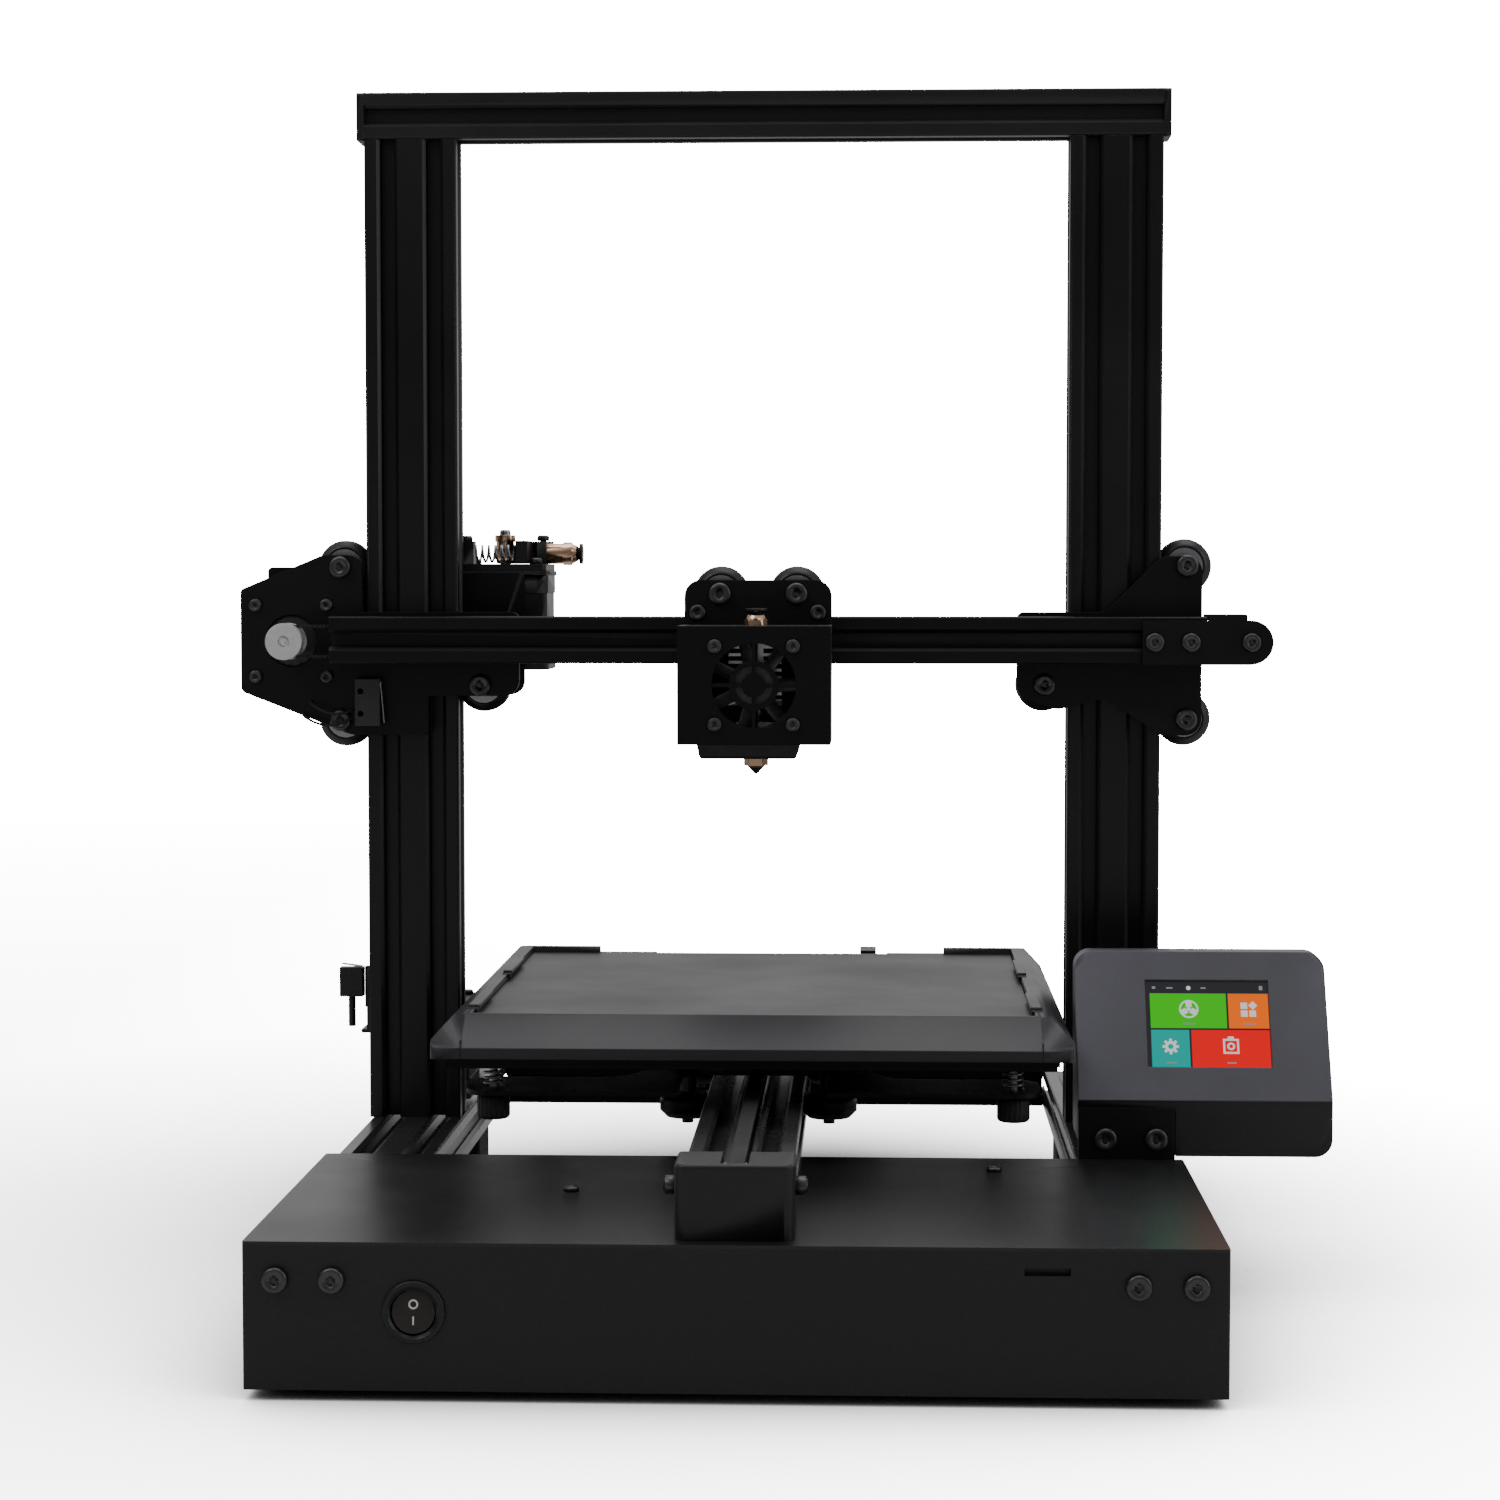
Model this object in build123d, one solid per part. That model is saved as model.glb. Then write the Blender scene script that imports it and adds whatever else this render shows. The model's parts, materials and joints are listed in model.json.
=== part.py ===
from build123d import *
import os
from math import cos, pi, radians, sin

# A desktop fused-filament printer. Lengths are in millimetres.
# X runs across the frame, Y from front to back and Z up. The model is drawn with Y = 0 in the
# plane of the two uprights, and written out with the origin under the middle of its footprint.
FOOTPRINT_SHIFT = 38.0

# Extruded profile with V-shaped slots
CELL = 20.0
SLOT_MOUTH = 4.6
SLOT_THROAT = 3.1
SLOT_BEVEL = 1.5
SLOT_LIP = 1.8
SLOT_CAVITY = 5.5
SLOT_DEPTH = 6.0
CORE_BORE = 2.1

# Base
FOOT_HEIGHT = 4.0
CASE_HALF = 172.8
CASE_FRONT = -284.5
CASE_BACK = -116.0
CASE_TOP = 56.7
SHEET = 1.2
RAIL_X = 151.1
RAIL_Z = 43.2
RAIL_BACK = 168.0
Y_RAIL_Z = CASE_TOP + CELL / 2
Y_RAIL_FRONT = -252.0

# Gantry frame
UPRIGHT_X = 152.3
UPRIGHT_FOOT = RAIL_Z + CELL / 2
UPRIGHT_TOP = 479.1
CAP = 3.1

# Wheels, belts and screws
WHEEL_RADIUS = 11.8
WHEEL_HALF = 5.1
WHEEL_TIP = 2.2
BEARING_RADIUS = 8.0
AXLE_RADIUS = 2.45
AXLE_BORE = 2.5
BELT_WIDTH = 6.0
BELT_INNER = 5.87
BELT_OUTER = 7.07
PULLEY_RADIUS = 5.8
FLANGE_RADIUS = 7.9
CLEAR = 0.3

# Gantry
PLATE = 3.0
PLATE_FRONT = -16.1
BEAM_Y = PLATE_FRONT - CELL / 2
BEAM_Z = 263.2
BEAM_LEFT = -184.5
BEAM_RIGHT = 189.4
X_MOTOR = (-204.3, 262.4)
X_IDLER = (207.7, 262.4)
LEFT_WHEELS = [(-182.7, 294.3), (-182.7, 227.9), (-121.9, 243.2)]
RIGHT_WHEELS = [(182.7, 294.8), (182.7, 228.9), (121.9, 243.7)]
MOTOR_HALF = 20.9
MOTOR_CORNER = 5.0
MOTOR_SCREW = 15.5
EXTRUDER = (-117.2, 37.5)
EXTRUDER_TOP = 291.0
FILAMENT_Z = 300.7
SCREW_XY = (-152.3, 33.0)

# Carriage and hot end
CARRIAGE_X = -0.4
CARRIAGE_BACK = -39.2
CARRIAGE_WHEELS = [(-16.6, 282.9), (15.8, 282.9), (CARRIAGE_X, 243.5)]
COVER_FRONT = -90.8
COVER_HALF = 31.4
COVER_BOTTOM = 221.4
COVER_TOP = 270.0
NOZZLE_Y = -65.0
NOZZLE_TIP = 208.0
FAN_Z = 245.7

# Bed
BED_FRONT = -132.0
BED_BACK = 125.1
BED_HALF = 128.2
BED_SKIRT = 97.8
BED_LIP = 102.3
BED_EDGE = 105.3
BED_TOP = 113.8
MAT_TOP = 111.2
BED_CARRIAGE_TOP = 83.4
KNOB_X = 105.2
KNOB_Y = 107.0
BED_Y = (BED_FRONT + BED_BACK) / 2
BED_WHEEL = (30.0, 46.0)
Y_BELT_Z = 74.0
Y_IDLER_Y = -264.0
Y_MOTOR_Y = 190.3

# Display
DISPLAY_LEFT = 131.0
DISPLAY_RIGHT = 232.4
DISPLAY_FRONT = -116.0
DISPLAY_BOTTOM = 58.0
DISPLAY_FOLD = 80.5
DISPLAY_TOP = 136.8
DISPLAY_LEAN = 31.0


# Fittings and screw places
INLET_Z = 22.0
SWITCH_X = -112.2
SWITCH_Z = 32.2
SWITCH_RADIUS = 11.2
SWITCH_HOLE = 9.8
ROCKER_Y = CASE_FRONT + 1.2
ROCKER_RADIUS = 7.9
ROCKER_TILT = 6.8
CARD_LEFT = 101.4
CARD_RIGHT = 117.5
CARD_Z = 48.2
LID_SCREWS = [(-65.9, -189.5), (96.2, -143.4)]
CROSS_RAILS = [-129.0, RAIL_BACK - CELL / 2]
LIFT_MOTOR_TOP = 97.0
DISPLAY_SCREWS = [(141.8, 64.8), (162.1, 64.8)]
SCREEN_SIZE = (50.0, 37.6)
SCREEN_CENTRE = (53.2, 33.0)
TENSION_SCREWS = [167.0, 182.3]
COVER_SCREWS = [-26.1, 24.9]
CLAMP_SCREWS = [(-150.0, 263.2), (-118.0, 263.2), (128.0, 263.2), (160.0, 263.2)]
EXTRUDER_SCREWS = [
    (EXTRUDER[0] - MOTOR_SCREW, EXTRUDER[1] + MOTOR_SCREW),
    (EXTRUDER[0] + MOTOR_SCREW, EXTRUDER[1] + MOTOR_SCREW),
    (EXTRUDER[0] - MOTOR_SCREW, EXTRUDER[1] - MOTOR_SCREW),
    (EXTRUDER[0] + MOTOR_SCREW, EXTRUDER[1] - MOTOR_SCREW),
]
LEVER_PIVOT = EXTRUDER_SCREWS[1]
FILAMENT_Y = EXTRUDER[1] + 4.9
LEVER_LEFT = EXTRUDER[0] + 6.9
NUT_TOP = 252.0
TUBE_BORE = 2.05
MAT_FRONT = -112.0
MAT_BACK = 117.0
SEAM_X = 116.0


def block(x0, x1, y0, y1, z0, z1):
    """A box given by its two opposite corners."""
    centre = ((x0 + x1) / 2, (y0 + y1) / 2, (z0 + z1) / 2)
    return Pos(*centre) * Box(abs(x1 - x0), abs(y1 - y0), abs(z1 - z0))


def along(point, axis):
    """The place at a point whose own Z runs along the given axis."""
    return Plane(origin=point, z_dir=axis).location


def rod(radius, point, axis, length):
    """A round bar that starts at a point and runs along an axis."""
    bar = Cylinder(radius, length, align=(Align.CENTER, Align.CENTER, Align.MIN))
    return along(point, axis) * bar


def ring(outer, inner, point, axis, length):
    """A round tube that starts at a point and runs along an axis."""
    return rod(outer, point, axis, length) - rod(inner, point, axis, length)


def hexagon(half_width, point, axis, length):
    """A six-sided bar, by the distance from its centre to its corners."""
    return along(point, axis) * extrude(RegularPolygon(half_width, 6), length)


def bolt(point, axis, shank, shank_length, head, head_height):
    """A button-headed screw: the head stands out along the axis, the shank runs the other way."""
    cap = Cylinder(head, head_height, align=(Align.CENTER, Align.CENTER, Align.MIN))
    cap = fillet(cap.edges().group_by(Axis.Z)[-1], head_height * 0.45)
    socket = extrude(RegularPolygon(head * 0.42, 6), head_height * 0.6)
    cap -= Pos(0, 0, head_height * 0.4) * socket
    stem = Cylinder(shank, shank_length, align=(Align.CENTER, Align.CENTER, Align.MAX))
    return along(point, axis) * (cap + stem)


def slot_cut():
    """The section of one V-slot, with its mouth on the X axis and its depth down -Y."""
    half = [
        (SLOT_MOUTH + 0.1, 0.1),
        (SLOT_THROAT, -SLOT_BEVEL),
        (SLOT_THROAT, -SLOT_LIP),
        (SLOT_CAVITY, -SLOT_LIP),
        (SLOT_CAVITY, -SLOT_LIP - 1.5),
        (SLOT_CAVITY - 2.7, -SLOT_DEPTH),
    ]
    mirrored = [(-x, y) for x, y in reversed(half)]
    return Polygon(*half, *mirrored, align=None)


def profile_bar(cells, length, top_channel=False):
    """A slotted extrusion along Z, centred, with its cells side by side along X."""
    half_width = cells * CELL / 2
    section = RectangleRounded(cells * CELL, CELL, 1.0)
    slot = slot_cut()
    for index in range(cells):
        centre = CELL * (index - (cells - 1) / 2)
        section -= Pos(centre, CELL / 2) * slot
        section -= Pos(centre, -CELL / 2) * Rot(0, 0, 180) * slot
        section -= Pos(centre, 0) * Circle(CORE_BORE)
    section -= Pos(half_width, 0) * Rot(0, 0, -90) * slot
    section -= Pos(-half_width, 0) * Rot(0, 0, 90) * slot
    if top_channel:
        floor = Y_BELT_Z - BELT_OUTER - 0.5 - Y_RAIL_Z
        opening = Rectangle(BELT_WIDTH + 1.2, CELL, align=(Align.CENTER, Align.MIN))
        section -= Pos(0, -floor - CELL) * opening
    return extrude(section, length / 2, both=True)


def wheel(centre, axis):
    """A V-edged wheel on two ball bearings."""
    half = [
        (BEARING_RADIUS - 1, 0.0),
        (BEARING_RADIUS - 1, 0.5),
        (BEARING_RADIUS, 0.5),
        (BEARING_RADIUS, WHEEL_HALF),
        (WHEEL_RADIUS - WHEEL_HALF + WHEEL_TIP, WHEEL_HALF),
        (WHEEL_RADIUS, WHEEL_TIP),
    ]
    mirrored = [(x, -y) for x, y in reversed(half[1:])]
    tyre = revolve(Plane.XZ * Polygon(*half, *mirrored, align=None), Axis.Z)
    race = Cylinder(BEARING_RADIUS - 0.02, WHEEL_HALF - 0.5, align=(Align.CENTER, Align.CENTER, Align.MIN))
    race -= Cylinder(AXLE_BORE, 3 * WHEEL_HALF)
    upper = Pos(0, 0, 0.5) * race
    lower = Pos(0, 0, -WHEEL_HALF) * race
    place = along(centre, axis)
    return [place * tyre, place * upper, place * lower]


def belt_loop(first, second, height, axis, start):
    """A flat closed belt round two pulleys, drawn in the plane across the axis."""
    span = second - first
    middle = (first + second) / 2
    outer = SlotOverall(span + 2 * BELT_OUTER, 2 * BELT_OUTER)
    inner = SlotOverall(span + 2 * BELT_INNER, 2 * BELT_INNER)
    loop = extrude(outer - inner, BELT_WIDTH)
    if axis == "Y":
        return Plane(origin=(middle, start, height), x_dir=(1, 0, 0), z_dir=(0, 1, 0)).location * loop
    return Plane(origin=(start, middle, height), x_dir=(0, 1, 0), z_dir=(1, 0, 0)).location * loop


def pulley(centre, axis, shaft_start, shaft_length):
    """A toothed belt pulley with two flanges and its hub, on its motor shaft."""
    place = along(centre, axis)
    half = BELT_WIDTH / 2 + 0.5
    body = Cylinder(PULLEY_RADIUS, 2 * half)
    tooth = Pos(PULLEY_RADIUS, 0, 0) * Cylinder(0.5, 2 * half)
    for index in range(20):
        body -= Rot(0, 0, index * 18) * tooth
    body += Pos(0, 0, half + 0.5) * Cylinder(FLANGE_RADIUS, 1.0)
    body += Pos(0, 0, -half - 0.5) * Cylinder(FLANGE_RADIUS, 1.0)
    body += Pos(0, 0, half + 3.0) * Cylinder(FLANGE_RADIUS, 4.0)
    body -= Cylinder(2.5, 60)
    shaft = Cylinder(2.5, shaft_length, align=(Align.CENTER, Align.CENTER, Align.MIN))
    return [place * body, place * Pos(0, 0, shaft_start) * shaft]


def idler(centre, axis):
    """A smooth flanged idler on its bearing."""
    half = BELT_WIDTH / 2 + 0.3
    body = Cylinder(PULLEY_RADIUS, 2 * half)
    body += Pos(0, 0, half + 0.4) * Cylinder(FLANGE_RADIUS, 0.8)
    body += Pos(0, 0, -half - 0.4) * Cylinder(FLANGE_RADIUS, 0.8)
    body -= Cylinder(AXLE_BORE, 40)
    return [along(centre, axis) * body]


def motor(point, axis, depth, up=(0, 0, 1)):
    """A stepper motor whose mounting face is at the point and whose body runs back from it."""
    outline = Polygon(
        (MOTOR_HALF, MOTOR_HALF - MOTOR_CORNER),
        (MOTOR_HALF - MOTOR_CORNER, MOTOR_HALF),
        (MOTOR_CORNER - MOTOR_HALF, MOTOR_HALF),
        (-MOTOR_HALF, MOTOR_HALF - MOTOR_CORNER),
        (-MOTOR_HALF, MOTOR_CORNER - MOTOR_HALF),
        (MOTOR_CORNER - MOTOR_HALF, -MOTOR_HALF),
        (MOTOR_HALF - MOTOR_CORNER, -MOTOR_HALF),
        (MOTOR_HALF, MOTOR_CORNER - MOTOR_HALF),
        align=None,
    )
    side = Vector(*up).cross(Vector(*axis))
    place = Plane(origin=point, x_dir=side, z_dir=axis).location
    front_cap = Pos(0, 0, -8) * extrude(outline, 8)
    stack = Pos(0, 0, 9 - depth) * extrude(offset(outline, -0.5, kind=Kind.INTERSECTION), depth - 17)
    back_cap = Pos(0, 0, -depth) * extrude(outline, 9)
    front_cap += Cylinder(11, 2, align=(Align.CENTER, Align.CENTER, Align.MIN))
    bore = Cylinder(3.0, 3 * depth)
    for x in (-MOTOR_SCREW, MOTOR_SCREW):
        for y in (-MOTOR_SCREW, MOTOR_SCREW):
            front_cap -= Pos(x, y, 0) * Cylinder(1.55, 11)
    plug = Pos(0, MOTOR_HALF + 5, 5 - depth) * Box(18, 10, 8)
    return [place * (front_cap - bore), place * (stack - bore), place * (back_cap - bore), place * plug]


def motor_screw_points(point, axis, up=(0, 0, 1)):
    """The four fixing points on a motor's face."""
    side = Vector(*up).cross(Vector(*axis))
    top = Vector(*axis).cross(side)
    corners = [(i, j) for i in (-MOTOR_SCREW, MOTOR_SCREW) for j in (-MOTOR_SCREW, MOTOR_SCREW)]
    return [tuple(Vector(*point) + side * i + top * j) for i, j in corners]


def helix_spring(radius, wire, height, turns):
    """A coil spring standing on the XY plane."""
    path = Helix(pitch=(height - 2 * wire) / turns, height=height - 2 * wire, radius=radius)
    start = Plane(origin=path @ 0, z_dir=path % 0)
    return Pos(0, 0, wire) * sweep(start * Circle(wire), path=path)


# ---------------------------------------------------------------- base


def base_case():
    tray = block(-CASE_HALF, CASE_HALF, CASE_FRONT, CASE_BACK, FOOT_HEIGHT, CASE_TOP - SHEET)
    tray = fillet(tray.edges().filter_by(Axis.Z), 1.0)
    inside = CASE_HALF - SHEET
    tray -= block(-inside, inside, CASE_FRONT + SHEET, CASE_BACK - SHEET, FOOT_HEIGHT + SHEET, CASE_TOP)
    notch = CELL + CLEAR
    for side in (-1, 1):
        x = side * RAIL_X
        low = RAIL_Z - CELL / 2 - CLEAR
        tray -= block(x - notch, x + notch, CASE_BACK - 2 * SHEET, CASE_BACK + SHEET, low, CASE_TOP)
        for offset_x in (-10, 10):
            tray -= rod(2.7, (x + offset_x, CASE_FRONT - 1, RAIL_Z), (0, 1, 0), 3 * SHEET)
    tray -= rod(SWITCH_HOLE, (SWITCH_X, CASE_FRONT - 1, SWITCH_Z), (0, 1, 0), 3 * SHEET)
    tray -= block(CARD_LEFT, CARD_RIGHT, CASE_FRONT - 1, CASE_FRONT + 2 * SHEET, CARD_Z - 1.4, CARD_Z + 1.4)
    tray -= block(-98.5, -71.5, CASE_BACK - 2 * SHEET, CASE_BACK + SHEET, INLET_Z - 10, INLET_Z + 10)
    for row in range(9):
        for column in range(12):
            x = -110 + 7 * column
            y = -245 + 10 * row
            tray -= Pos(x, y, FOOT_HEIGHT) * Cylinder(1.9, 4 * SHEET)
    return [tray]


def base_lid():
    lid = block(-CASE_HALF, CASE_HALF, CASE_FRONT, CASE_BACK, CASE_TOP - SHEET, CASE_TOP)
    lid = fillet(lid.edges().filter_by(Axis.Z), 1.0)
    for x, y in LID_SCREWS:
        lid -= rod(1.6, (x, y, CASE_TOP - 2 * SHEET), (0, 0, 1), 4 * SHEET)
    return [lid]


def base_rails():
    """Two side rails, two cross rails and the long middle rail that carries the bed."""
    length = RAIL_BACK - (CASE_FRONT + SHEET)
    middle = (RAIL_BACK + CASE_FRONT + SHEET) / 2
    parts = []
    for side in (-1, 1):
        parts.append(Pos(side * RAIL_X, middle, RAIL_Z) * Rot(-90, 0, 0) * profile_bar(2, length))
    cross_length = 2 * (RAIL_X - CELL)
    for y in CROSS_RAILS:
        parts.append(Pos(0, y, RAIL_Z) * Rot(0, 90, 0) * profile_bar(1, cross_length))
    y_length = RAIL_BACK - Y_RAIL_FRONT
    y_middle = (RAIL_BACK + Y_RAIL_FRONT) / 2
    y_rail = Rot(-90, 0, 0) * profile_bar(2, y_length, top_channel=True)
    parts.append(Pos(0, y_middle, Y_RAIL_Z) * y_rail)
    return parts


def feet():
    """Four pads under the case and two tall rear legs under the side rails."""
    parts = []
    for x in (-150, 150):
        for y in (CASE_FRONT + 22, CASE_BACK - 22):
            pad = rod(9, (x, y, 0), (0, 0, 1), FOOT_HEIGHT)
            parts.append(chamfer(pad.edges().group_by(Axis.Z)[0], 0.8))
    low = RAIL_Z - CELL / 2
    for side in (-1, 1):
        x = side * RAIL_X
        leg = block(x - 18, x + 18, 60, 98, 0, low)
        parts.append(fillet(leg.edges().filter_by(Axis.Z), 4))
    return parts


def uprights():
    length = UPRIGHT_TOP - UPRIGHT_FOOT
    bar = profile_bar(2, length)
    return [Pos(side * UPRIGHT_X, 0, UPRIGHT_FOOT + length / 2) * bar for side in (-1, 1)]


def top_bar():
    """The cross bar on top of the uprights, with a cap on each end."""
    half = UPRIGHT_X + CELL
    bar = Pos(0, 0, UPRIGHT_TOP + CELL / 2) * Rot(0, 90, 0) * profile_bar(1, 2 * half)
    parts = [bar]
    for side in (-1, 1):
        centre = (side * (half + CAP / 2), 0, UPRIGHT_TOP + CELL / 2 - 0.3)
        cap = Pos(*centre) * Box(CAP, CELL + 0.4, CELL + 0.6)
        parts.append(fillet(cap.edges().filter_by(Axis.X), 1.5))
    return parts


def belt_tensioner():
    """The housing on the front end of the bed rail, with its two adjusting screws."""
    front = Y_IDLER_Y - 13.5
    back = Y_RAIL_FRONT
    body = block(-21.3, 21.3, front, back, CASE_TOP, CASE_TOP + 27)
    body = fillet(body.edges().filter_by(Axis.Z).group_by(Axis.Y)[0], 4)
    body = fillet(body.edges().group_by(Axis.Z)[-1].group_by(Axis.Y)[0], 1.5)
    body -= block(-5, 5, front + 3, back + 1, CASE_TOP + 3, CASE_TOP + 30)
    body -= rod(AXLE_BORE, (-30, Y_IDLER_Y, Y_BELT_Z), (1, 0, 0), 60)
    parts = [body]
    axle = rod(AXLE_RADIUS, (-25.6, Y_IDLER_Y, Y_BELT_Z), (1, 0, 0), 51.2)
    for side in (-1, 1):
        axle += rod(3.4, (side * 21.4, Y_IDLER_Y, Y_BELT_Z), (side, 0, 0), 3.6)
    parts.append(axle)
    return parts


def frame_motors():
    """The bed's motor at the back and the lift motor at the foot of the left upright."""
    bed_motor = motor((11.0, Y_MOTOR_Y, Y_BELT_Z), (-1, 0, 0), 40)
    lift = motor((SCREW_XY[0], SCREW_XY[1], LIFT_MOTOR_TOP), (0, 0, 1), 40, up=(0, 1, 0))
    return bed_motor + lift


def brackets():
    """Folded plates: bed motor, lift motor and display, and the packers under the bed rail."""
    z_motor = block(SCREW_XY[0] - 21, SCREW_XY[0] + 21, 10, 55, LIFT_MOTOR_TOP, LIFT_MOTOR_TOP + PLATE)
    z_motor += block(SCREW_XY[0] - 19, SCREW_XY[0] + 19, 10, 12, LIFT_MOTOR_TOP, LIFT_MOTOR_TOP + 24)
    z_motor -= rod(11.2, (*SCREW_XY, LIFT_MOTOR_TOP - 1), (0, 0, 1), 6)
    for point in motor_screw_points((*SCREW_XY, LIFT_MOTOR_TOP - 1), (0, 0, 1), up=(0, 1, 0)):
        z_motor -= rod(1.7, point, (0, 0, 1), 6)
    low = RAIL_Z + CELL / 2
    plate_x = 8.0
    y_motor = block(plate_x, 11, RAIL_BACK - CELL, Y_MOTOR_Y + 21, low, Y_BELT_Z + 21)
    y_motor -= block(plate_x - 1, 12, RAIL_BACK - CELL - 1, RAIL_BACK + 0.2, CASE_TOP - 0.2, Y_BELT_Z + 22)
    y_motor += block(plate_x, 40, RAIL_BACK - CELL, RAIL_BACK, low, low + PLATE)
    y_motor -= rod(11.2, (plate_x - 1, Y_MOTOR_Y, Y_BELT_Z), (1, 0, 0), 6)
    for point in motor_screw_points((plate_x - 1, Y_MOTOR_Y, Y_BELT_Z), (1, 0, 0)):
        y_motor -= rod(1.7, point, (1, 0, 0), 6)
    rear_packer = block(-19, plate_x - 0.5, RAIL_BACK - CELL, RAIL_BACK, low, CASE_TOP)
    front_packer = block(-19, 19, CROSS_RAILS[0] - 9, CROSS_RAILS[0] + 9, low, CASE_TOP - SHEET)
    tab_right = DISPLAY_LEFT + 38.6
    display = block(DISPLAY_LEFT, tab_right, DISPLAY_FRONT, DISPLAY_FRONT + 2, CASE_TOP, DISPLAY_FOLD - 3)
    display += block(DISPLAY_LEFT, tab_right, DISPLAY_FRONT, DISPLAY_FRONT + 30, low, low + 2)
    display += block(DISPLAY_LEFT, tab_right, DISPLAY_FRONT, DISPLAY_FRONT + 2, low, CASE_TOP)
    for x, z in DISPLAY_SCREWS:
        display -= rod(2.6, (x, DISPLAY_FRONT - 1, z), (0, 1, 0), 4)
        display -= rod(2.6, (x, DISPLAY_FRONT + 18, low - 1), (0, 0, 1), 4)
    return [z_motor, y_motor, rear_packer, front_packer, display]


def y_belt():
    return [belt_loop(Y_IDLER_Y, Y_MOTOR_Y, Y_BELT_Z, "X", -BELT_WIDTH / 2)]


def z_endstop():
    """The limit switch on the outer side of the left upright, with its lead down the frame."""
    edge = -UPRIGHT_X - CELL
    box = block(edge - 14.2, edge - 4, -3.2, 3.2, 105.4, 118.2)
    lever = Pos(edge - 9, 0, 119.2) * Rot(0, 7, 0) * Box(9, 3.6, 0.4)
    plate = block(edge - 1.6, edge, -7, 7, 90, 118)
    plate += block(edge - 4, edge, -7, 7, 90, 91.6)
    plate += block(edge - 4, edge, 3.4, 7, 100, 118)
    lead = rod(1.6, (edge - 9.2, 0, 92), (0, 0, 1), 13.2)
    return [box, lever, plate, lead]


def electronics():
    """Power supply and control board inside the case."""
    supply = block(-128, 26, -258, -158, 8, 40)
    terminals = block(27, 38, -250, -170, 8, 24)
    board = block(42, 128, -281, -196, 45.2, 46.8)
    for x in (48, 122):
        for y in (-275, -202):
            board += rod(3, (x, y, FOOT_HEIGHT + SHEET), (0, 0, 1), 40)
    socket = block(CARD_LEFT - 0.5, CARD_RIGHT + 0.5, -281, -266, 46.8, CARD_Z + 1.3)
    parts = [supply, terminals, board, socket]
    for index in range(4):
        x = 52 + 17 * index
        driver = block(x, x + 9, -245, -236, 46.8, 52)
        parts.append(driver)
    return parts


def electrics():
    """What the case holds, the round switch bezel in front and the mains inlet behind."""
    bezel = rod(SWITCH_RADIUS, (SWITCH_X, CASE_FRONT, SWITCH_Z), (0, -1, 0), 1.6)
    bezel = fillet(bezel.edges().group_by(Axis.Y)[0], 0.9)
    bezel += rod(SWITCH_HOLE - 0.1, (SWITCH_X, CASE_FRONT, SWITCH_Z), (0, 1, 0), 14)
    bezel -= rod(ROCKER_RADIUS + 0.25, (SWITCH_X, CASE_FRONT - 3, SWITCH_Z), (0, 1, 0), 15)
    for side in (-1, 1):
        bezel -= rod(0.9, (SWITCH_X + side * 7, ROCKER_Y, SWITCH_Z), (side, 0, 0), 2.3)
    inlet = block(-98.4, -71.6, CASE_BACK - 22, CASE_BACK, INLET_Z - 9.9, INLET_Z + 9.9)
    inlet += block(-101, -69, CASE_BACK, CASE_BACK + 2, INLET_Z - 13, INLET_Z + 13)
    inlet -= block(-96, -74, CASE_BACK - 18, CASE_BACK + 3, INLET_Z - 7.5, INLET_Z + 7.5)
    pins = [block(x - 1, x + 1, CASE_BACK - 19, CASE_BACK - 4, 20, 24) for x in (-91, -85, -79)]
    return [bezel, inlet] + pins + electronics()


def switch_rocker():
    """The round rocker, pivoted across the bezel on two stub pins, with its upper half pressed in."""
    pivot = (SWITCH_X, ROCKER_Y, SWITCH_Z)
    body = Pos(*pivot) * Sphere(ROCKER_RADIUS)
    face = Pos(*pivot) * Rot(-ROCKER_TILT, 0, 0)
    body -= face * block(-12, 12, -12, -2.0, -12, 12)
    body -= face * block(-12, 12, 4.0, 12, -12, 12)
    for side in (-1, 1):
        body += rod(0.84, (SWITCH_X + side * 7, ROCKER_Y, SWITCH_Z), (side, 0, 0), 2.1)
    return [body]


def display_frame():
    """The leaning plane of the display, with X across and Y up the slope."""
    slope = Vector(0, DISPLAY_LEAN, DISPLAY_TOP - DISPLAY_FOLD)
    normal = Vector(1, 0, 0).cross(slope)
    origin = (DISPLAY_LEFT, DISPLAY_FRONT, DISPLAY_FOLD)
    return Plane(origin=origin, x_dir=(1, 0, 0), z_dir=normal)


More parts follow.
